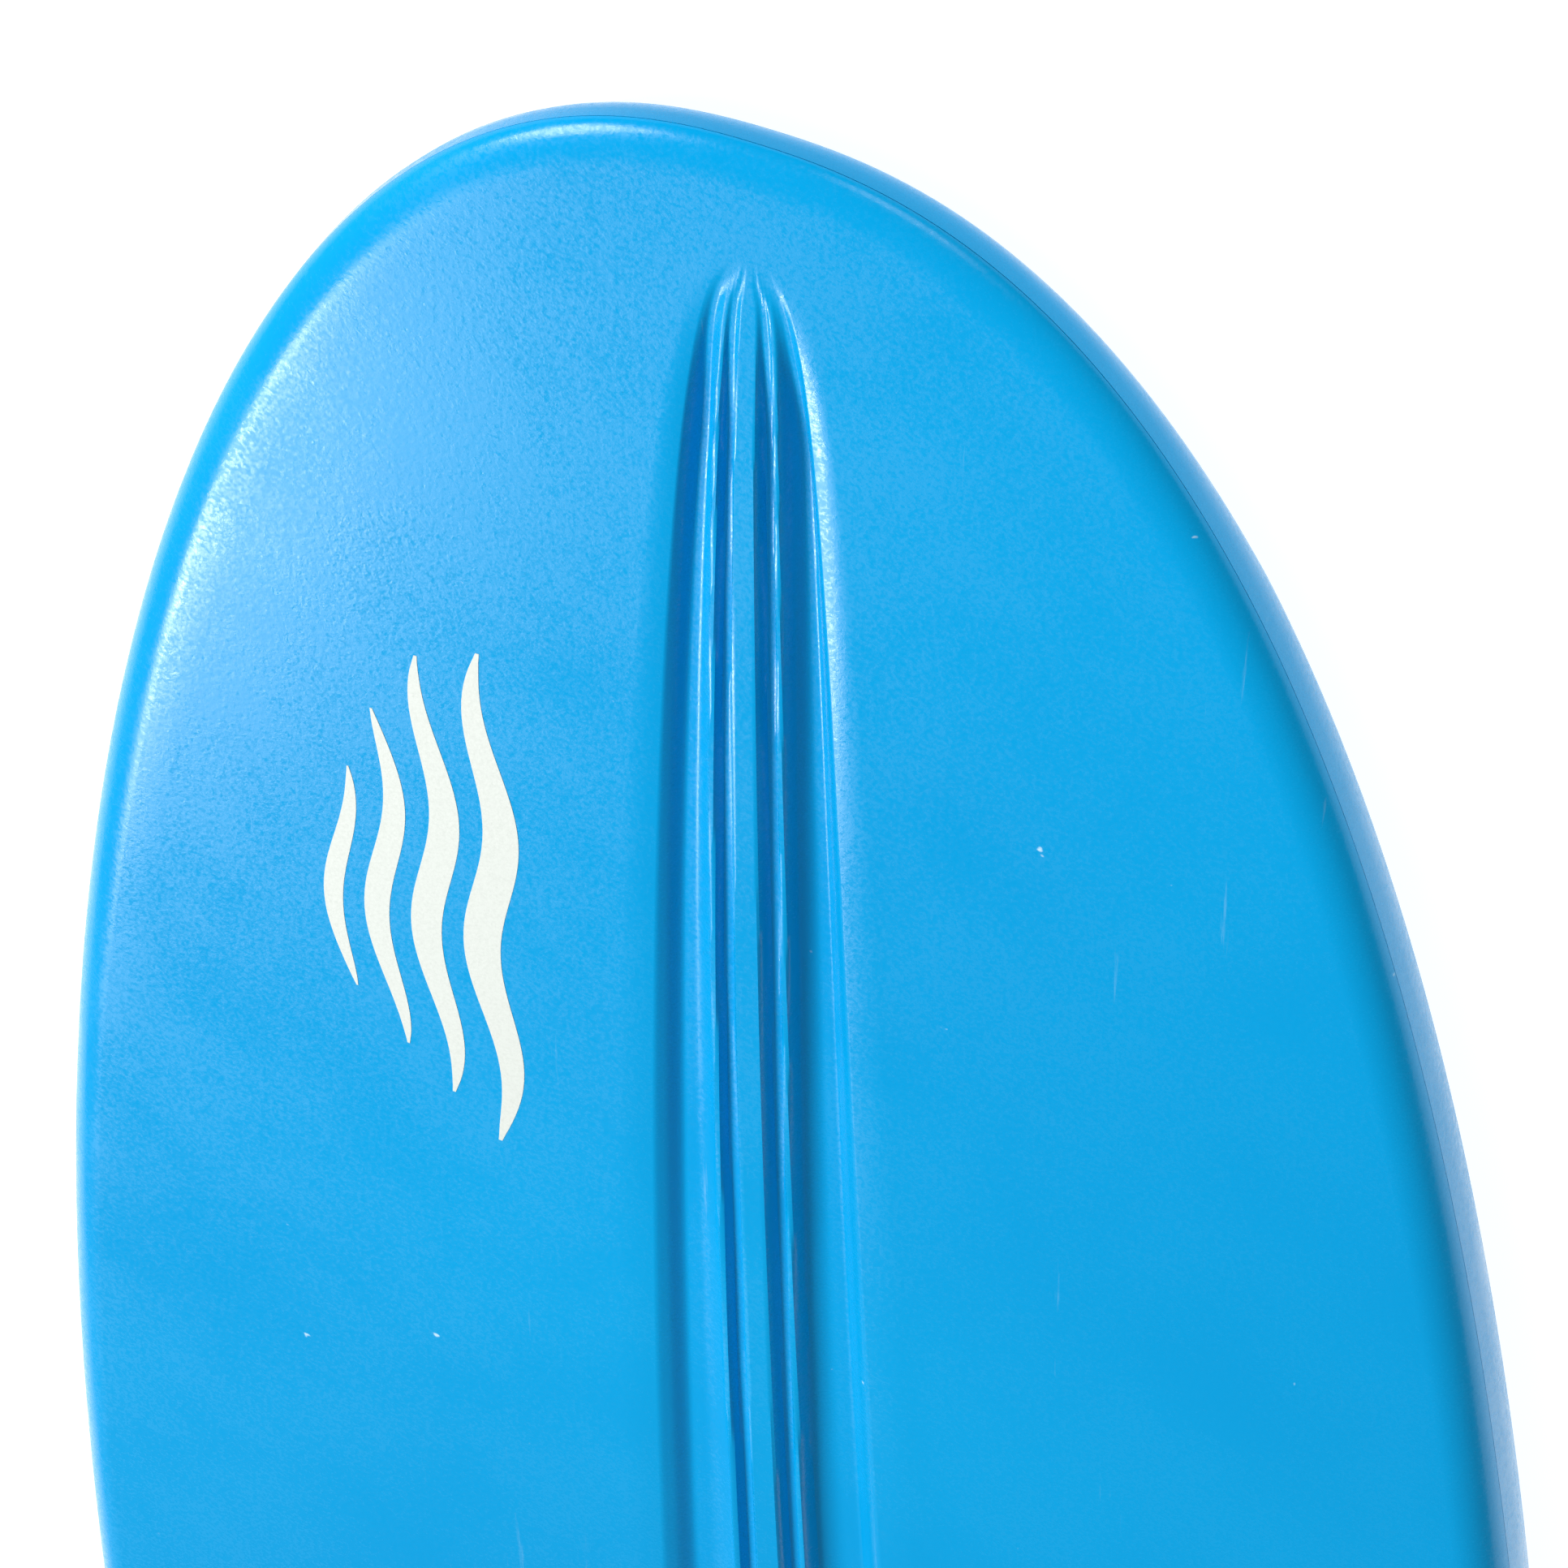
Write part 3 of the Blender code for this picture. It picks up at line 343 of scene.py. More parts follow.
def circle(bm, radius, height, sides):
    turns = [math.tau * i / sides for i in range(sides)]
    return [bm.verts.new((radius * math.cos(turn), radius * math.sin(turn), height)) for turn in turns]


def cylinder(radius, low, high, sides=ROUND_SIDES):
    bm = bmesh.new()
    rings = [circle(bm, radius, height, sides) for height in (low, high)]
    bridge(bm, *rings)
    for ring in rings:
        bm.faces.new(ring)
    return bm


def loft(sections, closed=False):
    """A solid through sections of equal point counts; closed joins the last one to the first."""
    bm = bmesh.new()
    rings = [[bm.verts.new(point) for point in section] for section in sections]
    pairs = zip(rings, rings[1:] + rings[:1]) if closed else zip(rings, rings[1:])
    for lower, upper in pairs:
        bridge(bm, lower, upper)
    if not closed:
        bm.faces.new(rings[0])
        bm.faces.new(rings[-1])
    return bm


def rounded_rectangle(half_x, half_y, corner, height):
    points = []
    for turn, (sx, sy) in enumerate(((1, 1), (-1, 1), (-1, -1), (1, -1))):
        for i in range(CORNER_STEPS + 1):
            angle = math.pi / 2 * (turn + i / CORNER_STEPS)
            x = sx * (half_x - corner) + corner * math.cos(angle)
            y = sy * (half_y - corner) + corner * math.sin(angle)
            points.append((x, y, height))
    return points


# Frames of the fittings: +Z out of the board, +X towards the nose


def axes(origin, along, outward):
    across = outward.cross(along).normalized()
    out = along.cross(across)
    return Matrix.Translation(origin) @ Matrix((along, across, out)).transposed().to_4x4()


def fin_frame():
    front, back = FIN_PLACE - BOX_LENGTH / 2, FIN_PLACE + BOX_LENGTH / 2
    low, high = Vector((-back, 0, hull_line(back))), Vector((-front, 0, hull_line(front)))
    middle = (low + high) / 2 + Vector((LENGTH / 2, 0, 0))
    return axes(middle, (high - low).normalized(), Vector((0, 0, 1)))


def deck_frame(s, y):
    step = 0.01
    rise = deck_height(s - step) - deck_height(s + step)
    along = Vector((2 * step, 0, rise)).normalized()
    return axes(Vector((LENGTH / 2 - s, y, deck_height(s))), along, Vector((0, 0, -1)))


# Shells


def outline():
    """The board's edge as (s, y, inward normal), from the nose tip round the left side and back."""
    spots = []
    for k in range(STATIONS + 1):
        s = LENGTH / 2 * (1 - math.cos(math.pi * k / STATIONS))
        spots.append((s, half_width(s) if 0 < k < STATIONS else 0.0))
    spots += [(s, -y) for s, y in reversed(spots[1:-1])]
    made = []
    for i, (s, y) in enumerate(spots):
        before, after = spots[i - 1], spots[(i + 1) % len(spots)]
        along = Vector((after[0] - before[0], after[1] - before[1])).normalized()
        made.append((s, y, Vector((along.y, -along.x))))
    return made


EDGE = outline()


def edge_ring(bm, inset, height):
    ring = []
    for s, y, inward in EDGE:
        at_s, at_y = s + inset * inward.x, y + inset * inward.y
        ring.append(bm.verts.new((LENGTH / 2 - at_s, at_y, height(at_s, at_y))))
    return ring


def field(bm, ring, height, columns):
    """Fills the space inside a ring with rows across the board."""
    rows = []
    for k in range(1, STATIONS):
        left, right = ring[k], ring[-k]
        s = LENGTH / 2 - left.co.x
        spots = columns(s, left.co.y)
        across = [-y for y in reversed(spots[1:])] + spots
        between = [bm.verts.new((left.co.x, y, height(s, y))) for y in across]
        rows.append([right, *between, left])
    for row, after in zip(rows, rows[1:]):
        for i in range(len(row) - 1):
            bm.faces.new((row[i], row[i + 1], after[i + 1], after[i]))
    for tip, row in ((ring[0], rows[0]), (ring[STATIONS], rows[-1])):
        for near, far in zip(row, row[1:]):
            bm.faces.new((tip, near, far))


def skin(bm, first_ring, wall, round_in, flat, surface, columns):
    """Joins the seam's ring to the surface, round a quarter of an ellipse."""
    rings = [first_ring]
    for i in range(1, RAIL_STEPS + 1):
        turn = math.pi / 2 * i / RAIL_STEPS

        def height(s, y, share=math.sin(turn)):
            seam = seam_height(s, y)
            return seam + (flat(s, y) - seam) * share

        rings.append(edge_ring(bm, wall + round_in * (1 - math.cos(turn)), height))
    for lower, upper in zip(rings, rings[1:]):
        bridge(bm, lower, upper)
    field(bm, rings[-1], surface, columns)


def shell(name, flat, surface, side, columns):
    """One half of the board's skin. side is 1 for the hull and -1 for the deck."""
    bm = bmesh.new()
    round_in = HULL_ROUND if side > 0 else DECK_ROUND

    def seam(s, y):
        return seam_height(s, y) + side * GAP / 2

    def inner_flat(s, y):
        return flat(s, y) - side * SHELL_WALL

    def inner_surface(s, y):
        return surface(s, y) - side * SHELL_WALL

    outer, inner = edge_ring(bm, 0, seam), edge_ring(bm, SHELL_WALL, seam)
    bridge(bm, outer, inner)
    skin(bm, outer, 0, round_in, flat, surface, columns)
    skin(bm, inner, SHELL_WALL, round_in, inner_flat, inner_surface, columns)
    return make_object(name, bm)


def board_piece(obj, node, finish, body="board", sharp_degrees=30):
    """Puts a new piece in the place of a CAD node."""
    obj.data.materials.clear()
    obj.data.materials.append(finish)
    smooth_by_angle(obj, sharp_degrees)
    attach(obj, body)
    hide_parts(node)
    return obj


def hull(finish):
    """The hull shell with its channel and keel, open where the fin box sits."""

    def surface(s, y):
        return hull_height(s, y) + relief(s, y)

    piece = shell("hull_skin", hull_height, surface, 1, keel_columns)
    half_box, half_side = BOX_LENGTH / 2 + GAP, BOX_WIDTH / 2 + GAP
    room = block((-half_box, -half_side, -BOX_DEPTH), (half_box, half_side, 2 * OVERRUN))
    apply_boolean(piece, make_object("box_room", room, fin_frame()), "DIFFERENCE")
    board_piece(piece, "hull_shell", finish)


def well_shape(grow, low, high):
    sections = []
    for z in (low, high):
        narrow = WELL_DRAFT * -z / WELL_DEPTH
        half_x, half_y = WELL_LENGTH / 2 + grow - narrow, WELL_WIDTH / 2 + grow - narrow
        sections.append(rounded_rectangle(half_x, half_y, WELL_CORNER + grow - narrow, z))
    return loft(sections)


def handle_spots():
    half = HANDLE_SCREW_SPACING / 2
    return [(x, y) for x in (CLAMP_PLACE, -CLAMP_PLACE) for y in (half, -half)]


def screw_holes(depth, rise):
    """Cutters for the holes of the handle's and pad eyes' screws."""
    handle = deck_frame(HANDLE_PLACE, 0)
    places = [handle @ Matrix.Translation((x, y, 0)) for x, y in handle_spots()]
    for s, y in PAD_EYE_PLACES:
        for x in (EYE_SCREW_SPACING / 2, -EYE_SCREW_SPACING / 2):
            places.append(deck_frame(s, y) @ Matrix.Translation((x, 0, 0)))
    return [(cylinder(SCREW_RADIUS + GAP, -depth, rise, SMALL_ROUND_SIDES), place) for place in places]


def deck(finish):
    """The deck shell with its finger well and the openings for its fittings."""
    piece = shell("deck_skin", deck_height, deck_height, -1, plain_columns)
    handle = deck_frame(HANDLE_PLACE, 0)
    wall = well_shape(SHELL_WALL, -WELL_DEPTH - SHELL_WALL, -0.5 * SHELL_WALL)
    apply_boolean(piece, make_object("well_wall", wall, handle), "UNION")
    cutters = [(well_shape(0.0, -WELL_DEPTH, OVERRUN), handle)]
    cutters += screw_holes(2 * SHELL_WALL, OVERRUN)
    for s, radius in ((CUP_PLACE, CUP_RADIUS), (VENT_PLACE, BUSH_RADIUS)):
        cutters.append((cylinder(radius + GAP, -2 * SHELL_WALL, OVERRUN), deck_frame(s, 0)))
    apply_boolean(piece, make_object("deck_openings", merged(*cutters)), "DIFFERENCE")
    board_piece(piece, "deck_shell", finish)


# Printed mark


def stripe(number, place, start, end, half, finish):
    """A thin film of ink that follows the hull: a swaying stripe that tapers to its ends."""
    sections = []
    for i in range(STRIPE_STEPS + 1):
        share = i / STRIPE_STEPS
        s = start + (end - start) * share
        middle = place + STRIPE_SWAY * math.sin(math.tau * s / STRIPE_WAVE)
        width = half * max(math.sin(math.pi * share), STRIPE_TIP) ** STRIPE_TAPER
        section = []
        for across, lift in ((-1, -INK_SUNK), (1, -INK_SUNK), (1, INK_PROUD), (-1, INK_PROUD)):
            y = middle + across * width
            section.append((LENGTH / 2 - s, y, hull_height(s, y) + lift))
        sections.append(section)
    piece = make_object(f"printed_wave_{number}", loft(sections))
    piece.data.materials.append(finish)
    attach(piece, "board")


# Fin


def foil(front, back, thickness, height):
    """A symmetric foil section between two places along X, round in front and thin behind."""
    chord = front - back
    side = []
    for i in range(FOIL_STEPS + 1):
        share = (1 - math.cos(math.pi * i / FOIL_STEPS)) / 2
        bulge = FOIL_NOSE * (math.sqrt(share) - share) * (1 - FOIL_FALL * share) + FOIL_TAIL * share
        side.append((front - share * chord, thickness / 2 * min(bulge * FOIL_FULLNESS, 1.0)))
    right = [(x, -y, height) for x, y in reversed(side[1:])]
    return [(x, y, height) for x, y in side] + right


def fin(finish):
    """A raked blade on a tab that fits the box's slot."""
    place = fin_frame()
    front, back = TAB_FRONT - FIN_SETBACK, TAB_BACK + FIN_SETBACK
    sections = [foil(front, back, FIN_THICKNESS, -FIN_ROOT_SINK)]
    for i in range(FIN_STEPS + 1):
        up = i / FIN_STEPS
        leading = front - FIN_RAKE * up**FIN_RAKE_POWER
        trailing = back + FIN_BELLY * math.sin(math.pi * up) - FIN_TIP_SWEEP * up**3
        thickness = FIN_TIP_THICKNESS + (FIN_THICKNESS - FIN_TIP_THICKNESS) * (1 - up)
        sections.append(foil(leading, trailing, thickness, FIN_LIFT + (FIN_HEIGHT - FIN_LIFT) * up))
    blade = make_object("fin_blade", loft(sections), place)
    half = TAB_THICKNESS / 2
    tab = block((TAB_BACK, -half, -TAB_DEPTH), (TAB_FRONT, half, 0))
    apply_boolean(blade, make_object("tab", tab, place), "UNION")
    tip_tab = block((TAB_FRONT - half, -half, -TIP_TAB_BOTTOM), (TAB_TIP, half, -TIP_TAB_TOP))
    apply_boolean(blade, make_object("tip_tab", tip_tab, place), "UNION")
    screw_place = place @ Matrix.Translation((PLATE_PLACE, 0, 0))
    pin_height = -(TRACK_TOP + TRACK_BOTTOM) / 2
    pin_place = place @ Matrix.Translation((PIN_PLACE, 0, pin_height)) @ Matrix.Rotation(math.pi / 2, 4, "X")
    holes = merged(
        (cylinder(FIN_SCREW_RADIUS + GAP, -2 * TIP_TAB_BOTTOM, 0.0, SMALL_ROUND_SIDES), screw_place),
        (cylinder(PIN_RADIUS + GAP, -OVERRUN, OVERRUN, SMALL_ROUND_SIDES), pin_place),
    )
    apply_boolean(blade, make_object("fin_holes", holes), "DIFFERENCE")
    board_piece(blade, "fin", finish, "fin")


# Traction pads


def pad_columns(half):
    """(distance, depth) across half of a pad, with a groove at each spacing."""
    columns = [(0.0, 0.0)]
    middle = GROOVE_SPACING / 2
    while middle < half - GROOVE_MARGIN:
        columns.append((middle - GROOVE_HALF, 0.0))
        columns.append((middle - GROOVE_FLOOR, GROOVE_DEPTH))
        columns.append((middle + GROOVE_FLOOR, GROOVE_DEPTH))
        columns.append((middle + GROOVE_HALF, 0.0))
        middle += GROOVE_SPACING
    return columns


def pad_section(s, span, half_widths, across):
    """Points across a pad at one place: its bevelled edges, its grooved top and its flat underside."""
    share = (s - span[0]) / (span[1] - span[0])
    half = half_widths[0] + (half_widths[1] - half_widths[0]) * share
    from_end = min(s - span[0], span[1] - s)
    half -= PAD_CORNER - math.sqrt(PAD_CORNER**2 - max(PAD_CORNER - from_end, 0) ** 2)
    low, x = deck_height(s) - GAP, LENGTH / 2 - s
    high = low - PAD_THICKNESS + PAD_BEVEL * (1 - min(from_end / PAD_BEVEL, 1))
    grow = half / min(half_widths)
    fade = smooth_step((from_end - GROOVE_STOP) / GROOVE_FADE)
    top = [(x, distance * grow, high + cut * fade) for distance, cut in across]
    right = [(x, -half, low), (x, -half, high + PAD_BEVEL), (x, -half + PAD_BEVEL, high)]
    left = [(x, half - PAD_BEVEL, high), (x, half, high + PAD_BEVEL), (x, half, low)]
    return right + top + left


def traction_pad(name, span, half_widths, finish):
    """A grooved foam sheet on the deck; the grooves run along the board and fade out at its ends."""
    columns = pad_columns(min(half_widths) - 0.5 * GROOVE_MARGIN)
    across = [(-distance, cut) for distance, cut in reversed(columns[1:])] + columns
    places = [span[0] + (span[1] - span[0]) * i / PAD_ROWS for i in range(PAD_ROWS + 1)]
    piece = make_object(f"{name}_foam", loft([pad_section(s, span, half_widths, across) for s in places]))
    if name == "traction_pad_middle":
        half_x = STRAP_SPAN / 2 + STRAP_END + WINDOW_CLEARANCE
        half_y = WELL_WIDTH / 2 + WINDOW_CLEARANCE
        window = loft([rounded_rectangle(half_x, half_y, WINDOW_CORNER, z) for z in (-OVERRUN, 2 * OVERRUN)])
        apply_boolean(piece, make_object("window", window, deck_frame(HANDLE_PLACE, 0)), "DIFFERENCE")
    board_piece(piece, name, finish)


# Carry handle


def arch_height(x):
    half_span = STRAP_SPAN / 2
    rest = 0.5 * STRAP_THICKNESS + GAP
    if abs(x) >= half_span:
        return rest
    return rest + STRAP_RISE * math.cos(math.pi * x / (2 * half_span)) ** 2


def strap_loop():
    """The strap's section as (y, height) points: thin round edges and ribs on both faces."""
    side, thick = STRAP_WIDTH / 2, STRAP_THICKNESS / 2
    count = STRAP_POINTS_PER_RIB * STRAP_RIBS
    top = []
    for j in range(count + 1):
        y = (side - STRAP_EDGE) * (2 * j / count - 1)
        wave = STRAP_RIB_HEIGHT * (0.5 - 0.5 * math.cos(math.tau * STRAP_RIBS * j / count))
        top.append((y, thick - wave))
    loop = [(-side, STRAP_EDGE - thick)] + [(y, -height) for y, height in top]
    loop += [(side, STRAP_EDGE - thick), (side, thick - STRAP_EDGE)]
    return loop + top[::-1] + [(-side, thick - STRAP_EDGE)]


def strap(finish):
    """Webbing with raised ribs along it, screwed down at both ends."""
    half = STRAP_SPAN / 2 + STRAP_END
    loop = strap_loop()
    sections = []
    for i in range(STRAP_STEPS + 1):
        x = -half + 2 * half * i / STRAP_STEPS
        z = arch_height(x)
        sections.append([(x, y, z + height) for y, height in loop])
    place = deck_frame(HANDLE_PLACE, 0)
    piece = make_object("handle_webbing", loft(sections), place)
    holes = []
    for x, y in handle_spots():
        hole = cylinder(SCREW_RADIUS + 2 * GAP, -OVERRUN, 2 * OVERRUN, SMALL_ROUND_SIDES)
        holes.append((hole, place @ Matrix.Translation((x, y, 0))))
    apply_boolean(piece, make_object("strap_holes", merged(*holes)), "DIFFERENCE")
    board_piece(piece, "handle_strap", finish)


def grip(finish):
    """A rubber sleeve round the strap with rings moulded across it and rounded ends."""
    half = GRIP_LENGTH / 2
    hole_wide, hole_tall = (STRAP_WIDTH + GRIP_CLEARANCE) / 2, (STRAP_THICKNESS + GRIP_CLEARANCE) / 2
    hole = rounded_rectangle(hole_wide, hole_tall, GRIP_HOLE_CORNER * hole_tall, 0)
    outer, inner = [], []
    for i in range(GRIP_STEPS + 1):
        x = -half + GRIP_LENGTH * i / GRIP_STEPS
        z = arch_height(x)
        from_end = half - abs(x)
        ring = GRIP_RING_HEIGHT * (0.5 + 0.5 * math.cos(math.tau * GRIP_RINGS * i / GRIP_STEPS))
        ring *= smooth_step(from_end / GRIP_RING_FADE)
        lost = GRIP_END_ROUND * (1 - smooth_step(from_end / GRIP_END_RUN)) + GRIP_RING_HEIGHT - ring
        wide, tall = GRIP_WIDTH / 2 - lost, GRIP_THICKNESS / 2 - lost
        shape = rounded_rectangle(wide, tall, GRIP_CORNER * tall, 0)
        outer.append([(x, y, z + up) for y, up, _ in shape])
        inner.append([(x, y, z + up) for y, up, _ in hole])
    piece = make_object("handle_sleeve", loft(outer + inner[::-1], closed=True), deck_frame(HANDLE_PLACE, 0))
    board_piece(piece, "handle_grip", finish, sharp_degrees=50)


# Materials: colours are linear RGB, and the stretches set how a grain runs along X, Y and Z

BLUE, LIGHT_BLUE = (0.0, 0.280, 0.600), (0.0, 0.310, 0.640)
SCUFF, LIGHT_SCUFF = (0.55, 0.75, 0.90), (0.70, 0.85, 0.95)
INK, LIGHT_INK = (0.56, 0.60, 0.56), (0.61, 0.65, 0.61)
FOAM, LIGHT_FOAM = (0.050, 0.056, 0.063), (0.105, 0.112, 0.120)
RUBBED, LIGHT_RUBBED = (0.120, 0.125, 0.130), (0.170, 0.175, 0.180)
WEBBING, LIGHT_WEBBING = (0.006, 0.006, 0.007), (0.034, 0.034, 0.038)
RUBBER, DUSTY_RUBBER = (0.012, 0.012, 0.013), (0.034, 0.033, 0.032)
NYLON, LIGHT_NYLON = (0.010, 0.010, 0.011), (0.030, 0.030, 0.031)
BRASS, LIGHT_BRASS = (0.55, 0.36, 0.13), (0.80, 0.58, 0.26)
STEEL, LIGHT_STEEL = (0.46, 0.46, 0.47), (0.68, 0.68, 0.69)
BEAD_EDGE, BEAD = (0.72, 0.72, 0.70), (0.92, 0.92, 0.90)
FLOOR_GREY, FLOOR_LIGHT_GREY = 0.33, 0.37
SCUFF_STRETCH = (0.35, 9.0, 1.0)
LATHE_STRETCH = (1.0, 1.0, 30.0)
TOOL_STRETCH = (1.0, 1.0, 18.0)


class Finish:
    """A Principled material under construction."""

    def __init__(self, name, roughness, metallic=0.0, specular=0.5):
        self.material = bpy.data.materials.new(name)
        self.material.use_nodes = True
        self.tree = self.material.node_tree
        self.shader = self.tree.nodes["Principled BSDF"]
        self.shader.inputs["Roughness"].default_value = roughness
        self.shader.inputs["Metallic"].default_value = metallic
        self.shader.inputs["Specular IOR Level"].default_value = specular
        self.place = self.tree.nodes.new("ShaderNodeTexCoord").outputs["Object"]
        self.relief = None

    def stretched(self, scale):
        mapping = self.tree.nodes.new("ShaderNodeMapping")
        mapping.inputs["Scale"].default_value = scale
        self.tree.links.new(self.place, mapping.inputs["Vector"])
        return mapping.outputs["Vector"]

    def noise(self, scale, detail=3.0, rough=0.5, stretch=None):
        node = self.tree.nodes.new("ShaderNodeTexNoise")
        node.inputs["Scale"].default_value = scale
        node.inputs["Detail"].default_value = detail
        node.inputs["Roughness"].default_value = rough
        self.tree.links.new(self.stretched(stretch) if stretch else self.place, node.inputs["Vector"])
        return node.outputs["Fac"]

    def cells(self, scale, feature="F1"):
        node = self.tree.nodes.new("ShaderNodeTexVoronoi")
        node.feature = feature
        node.inputs["Scale"].default_value = scale
        self.tree.links.new(self.place, node.inputs["Vector"])
        return node.outputs["Distance"]

    def wave(self, scale, direction, distortion=0.0):
        node = self.tree.nodes.new("ShaderNodeTexWave")
        node.bands_direction = direction
        node.inputs["Scale"].default_value = scale
        node.inputs["Distortion"].default_value = distortion
        self.tree.links.new(self.place, node.inputs["Vector"])
        return node.outputs["Fac"]

    def multiply(self, first, second):
        node = self.tree.nodes.new("ShaderNodeMath")
        node.operation = "MULTIPLY"
        self.tree.links.new(first, node.inputs[0])
        self.tree.links.new(second, node.inputs[1])
        return node.outputs[0]

    def ramp(self, value, stops):
        """Colours along a value: stops are (position, linear RGB or grey)."""
        node = self.tree.nodes.new("ShaderNodeValToRGB")
        elements = node.color_ramp.elements
        while len(elements) < len(stops):
            elements.new(0.5)
        for element, (position, color) in zip(elements, stops):
            rgb = color if isinstance(color, tuple) else (color,) * 3
            element.position = position
            element.color = (*rgb, 1.0)
        self.tree.links.new(value, node.inputs["Fac"])
        return node.outputs["Color"]

    def mix(self, amount, first, second):
        node = self.tree.nodes.new("ShaderNodeMix")
        node.data_type = "RGBA"
        self.tree.links.new(amount, node.inputs["Factor"])
        self.tree.links.new(first, node.inputs["A"])
        self.tree.links.new(second, node.inputs["B"])
        return node.outputs["Result"]

    def color(self, output):
        self.tree.links.new(output, self.shader.inputs["Base Color"])

    def roughness(self, output):
        self.tree.links.new(output, self.shader.inputs["Roughness"])

    def bump(self, output, strength, depth):
        """Adds a layer of relief, in metres, over those already there."""
        node = self.tree.nodes.new("ShaderNodeBump")
        node.inputs["Strength"].default_value = strength
        node.inputs["Distance"].default_value = depth
        self.tree.links.new(output, node.inputs["Height"])
        if self.relief is not None:
            self.tree.links.new(self.relief, node.inputs["Normal"])
        self.relief = node.outputs["Normal"]
        self.tree.links.new(self.relief, self.shader.inputs["Normal"])


def blue_polyethylene():
    """Rotomoulded skin: cloudy blue, a fine orange peel, dust specks and faint scuffs."""
    made = Finish("blue_polyethylene", 0.3, specular=0.2)
    clouds = made.ramp(made.noise(2.2, detail=4.0), [(0.3, BLUE), (0.7, LIGHT_BLUE)])
    grain = made.ramp(made.noise(420, detail=3.0, rough=0.7), [(0.35, 0.25), (0.65, 0.9)])
    speck = made.ramp(made.noise(90, detail=2.0, rough=0.4), [(0.79, 0.0), (0.82, 0.7)])
    streaks = made.noise(14, detail=5.0, rough=0.7, stretch=SCUFF_STRETCH)
    scuff = made.ramp(streaks, [(0.68, 0.0), (0.82, 0.2)])
    pale = made.ramp(made.noise(60), [(0.0, SCUFF), (1.0, LIGHT_SCUFF)])
    worn = made.mix(scuff, clouds, pale)
    made.color(made.mix(speck, worn, pale))
    patchy_grain = made.multiply(grain, made.noise(9, detail=6.0, rough=0.65))
    made.roughness(made.ramp(patchy_grain, [(0.12, 0.13), (0.42, 0.32)]))
    made.bump(made.noise(3.0, detail=2.0), 0.15, 0.001)
    made.bump(made.noise(330, detail=3.0, rough=0.7), 0.5, 0.00016)
    return made.material


def printed_ink():
    made = Finish("printed_ink", 0.5)
    made.color(made.ramp(made.noise(500, detail=4.0, rough=0.7), [(0.3, INK), (0.55, LIGHT_INK)]))
    made.roughness(made.ramp(made.noise(700), [(0.3, 0.42), (0.7, 0.6)]))
    made.bump(made.noise(600, detail=3.0, rough=0.6), 0.3, 0.0003)
    return made.material


def eva_foam():
    """Brushed closed-cell foam, lighter where feet have rubbed it."""
    made = Finish("eva_foam", 0.85, specular=0.25)
    fine = made.ramp(made.noise(1600, detail=4.0, rough=0.7), [(0.3, FOAM), (0.7, LIGHT_FOAM)])
    rubbed = made.ramp(made.noise(900, detail=3.0), [(0.3, RUBBED), (0.7, LIGHT_RUBBED)])
    made.color(made.mix(made.ramp(made.noise(5, detail=5.0), [(0.5, 0.0), (0.75, 0.6)]), fine, rubbed))
    made.roughness(made.ramp(made.noise(300), [(0.2, 0.75), (0.8, 0.95)]))
    made.bump(made.cells(1500), 0.5, 0.0004)
    made.bump(made.noise(220, detail=4.0), 0.3, 0.0005)
    return made.material


def webbing():
    """Woven polyester: ribs along the strap crossed by the weft."""
    made = Finish("woven_webbing", 0.75, specular=0.3)
    weave = made.multiply(made.wave(260, "X", 0.6), made.wave(190, "Y", 0.6))
    made.color(made.ramp(weave, [(0.05, WEBBING), (0.8, LIGHT_WEBBING)]))
    made.roughness(made.ramp(made.noise(800), [(0.2, 0.6), (0.8, 0.9)]))
    made.bump(weave, 0.8, 0.0005)
    made.bump(made.noise(2600, detail=3.0), 0.4, 0.0002)
    return made.material


def rubber():
    made = Finish("moulded_rubber", 0.7, specular=0.35)
    made.color(made.ramp(made.noise(40, detail=5.0), [(0.35, RUBBER), (0.75, DUSTY_RUBBER)]))
    made.roughness(made.ramp(made.noise(220, detail=4.0), [(0.3, 0.55), (0.7, 0.8)]))
    made.bump(made.cells(1300), 0.35, 0.0003)
    return made.material


def black_plastic():
    """Glass-filled nylon: a fine spark grain, with dull rubbed patches."""
    made = Finish("black_nylon", 0.45)
    made.color(made.ramp(made.noise(30, detail=5.0), [(0.35, NYLON), (0.75, LIGHT_NYLON)]))
    made.roughness(made.ramp(made.noise(90, detail=5.0, rough=0.7), [(0.3, 0.36), (0.7, 0.58)]))
    made.bump(made.noise(1500, detail=3.0, rough=0.6), 0.35, 0.0002)
    return made.material


def brushed_metal(name, dark, light, roughness):
    """Turned metal: fine tool lines and small dents, with a dull bloom."""
    made = Finish(name, roughness, metallic=1.0)
    made.color(made.ramp(made.noise(60, detail=4.0, stretch=LATHE_STRETCH), [(0.3, dark), (0.7, light)]))
    made.roughness(made.ramp(made.noise(400, detail=4.0), [(0.3, roughness - 0.08), (0.7, roughness + 0.14)]))
    made.bump(made.noise(900, detail=2.0, stretch=TOOL_STRETCH), 0.3, 0.0001)
    return made.material


def bead_foam():
    """Expanded polystyrene, with its beads pressed together."""
    made = Finish("bead_foam", 0.9, specular=0.2)
    edges = made.cells(260, "DISTANCE_TO_EDGE")
    made.color(made.ramp(edges, [(0.0, BEAD_EDGE), (0.12, BEAD)]))
    made.bump(edges, 0.6, 0.0008)
    return made.material


def dress_nodes(finishes):
    """Gives every CAD node that still shows the finish of its slot."""
    for piece in frame["record"]["subparts"]:
        for slot in frame["nodes"][piece["node"]].material_slots:
            slot.material = finishes[piece["material_slot"]]


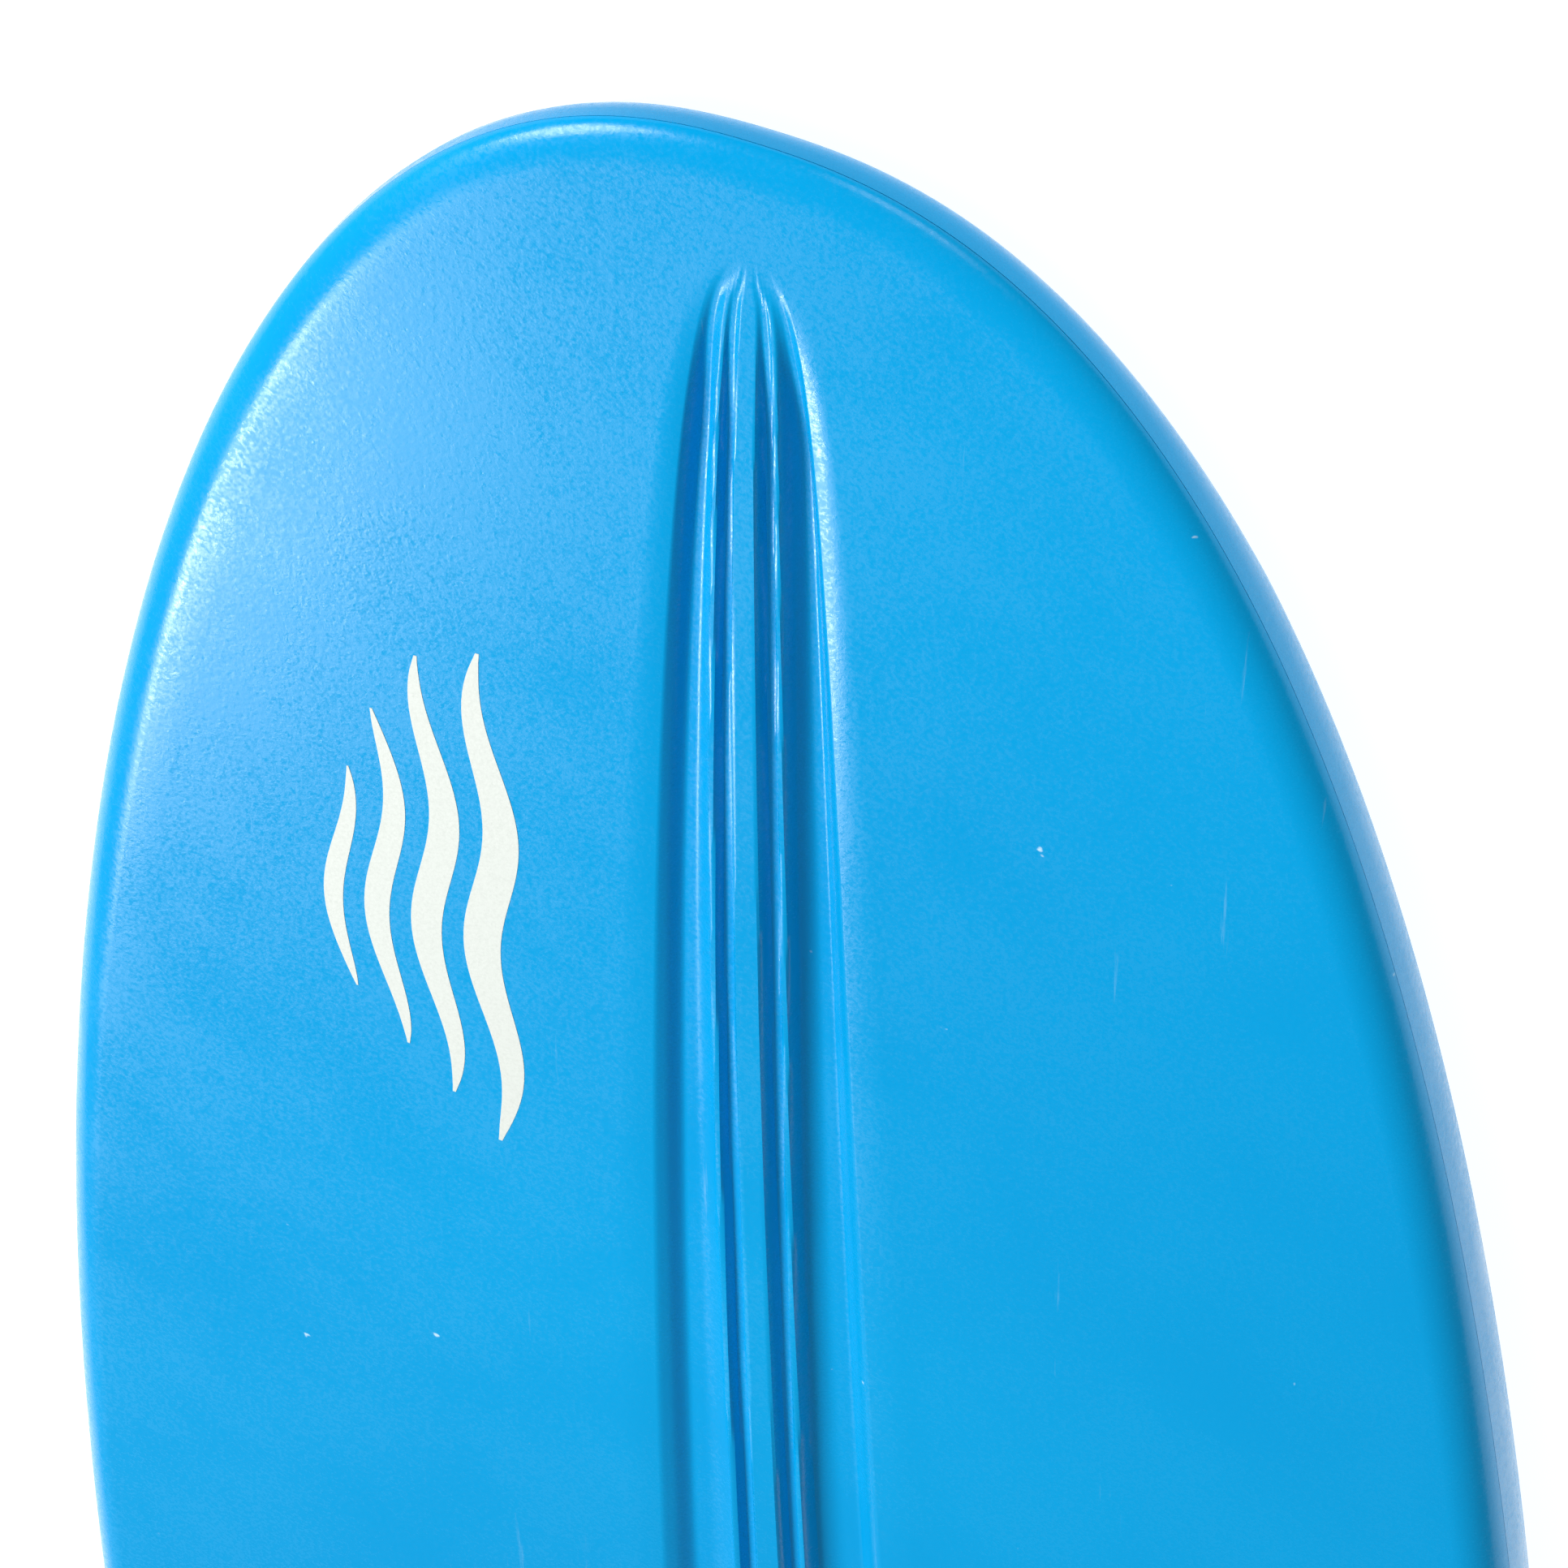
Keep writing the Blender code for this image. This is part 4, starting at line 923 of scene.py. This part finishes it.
# Floor, lights and camera


def floor():
    """A round white floor whose rim curves up into a low wall, so no view looks past it."""
    bm = bmesh.new()
    rings = [circle(bm, radius, rise - GAP, FLOOR_SIDES) for radius, rise in FLOOR_RINGS]
    bm.faces.new(rings[0])
    for lower, upper in zip(rings, rings[1:]):
        bridge(bm, lower, upper)
    mesh = bpy.data.meshes.new("floor")
    bm.to_mesh(mesh)
    bm.free()
    obj = bpy.data.objects.new("floor", mesh)
    bpy.context.scene.collection.objects.link(obj)
    made = Finish("pale_floor", 0.9, specular=0.1)
    made.color(made.ramp(made.noise(4.0, detail=4.0), [(0.3, FLOOR_GREY), (0.7, FLOOR_LIGHT_GREY)]))
    made.shader.inputs["Emission Color"].default_value = (1.0, 1.0, 1.0, 1.0)
    made.shader.inputs["Emission Strength"].default_value = FLOOR_GLOW
    mesh.materials.append(made.material)


def area_light(name, place, aim, size, watts):
    light = bpy.data.lights.new(name, "AREA")
    light.shape = "SQUARE"
    light.size = size
    light.energy = watts
    obj = bpy.data.objects.new(name, light)
    bpy.context.scene.collection.objects.link(obj)
    obj.location = place
    obj.rotation_euler = (Vector(aim) - Vector(place)).to_track_quat("-Z", "Y").to_euler()


def studio():
    scene = bpy.context.scene
    scene.view_settings.view_transform = "Standard"
    world = bpy.data.worlds.new("studio")
    world.use_nodes = True
    backdrop = world.node_tree.nodes["Background"]
    backdrop.inputs["Color"].default_value = (1.0, 1.0, 1.0, 1.0)
    backdrop.inputs["Strength"].default_value = WORLD_LIGHT
    scene.world = world
    for light in LIGHTS:
        area_light(*light)


def camera():
    data = bpy.data.cameras.new("camera")
    data.lens = CAMERA_LENS
    data.clip_end = 100
    obj = bpy.data.objects.new("camera", data)
    bpy.context.scene.collection.objects.link(obj)
    obj.location = CAMERA_PLACE
    obj.rotation_euler = [math.radians(angle) for angle in CAMERA_TURN]
    bpy.context.scene.camera = obj


def main():
    blue, black = blue_polyethylene(), black_plastic()
    rubber_finish, webbing_finish, foam = rubber(), webbing(), eva_foam()
    dress_nodes(
        {
            "skin_blue": blue,
            "foam_white": bead_foam(),
            "eva_grey": foam,
            "webbing_black": webbing_finish,
            "rubber_black": rubber_finish,
            "brass": brushed_metal("turned_brass", BRASS, LIGHT_BRASS, 0.32),
            "stainless_steel": brushed_metal("stainless_steel", STEEL, LIGHT_STEEL, 0.26),
            "black_plastic": black,
        }
    )
    hull(blue)
    deck(blue)
    ink = printed_ink()
    for number, stripe_sizes in enumerate(STRIPES, 1):
        stripe(number, *stripe_sizes, ink)
    fin(black)
    for spec in zip(PAD_NAMES, PAD_SPANS, PAD_HALF_WIDTHS):
        traction_pad(*spec, foam)
    strap(webbing_finish)
    grip(rubber_finish)
    floor()
    studio()
    camera()


main()
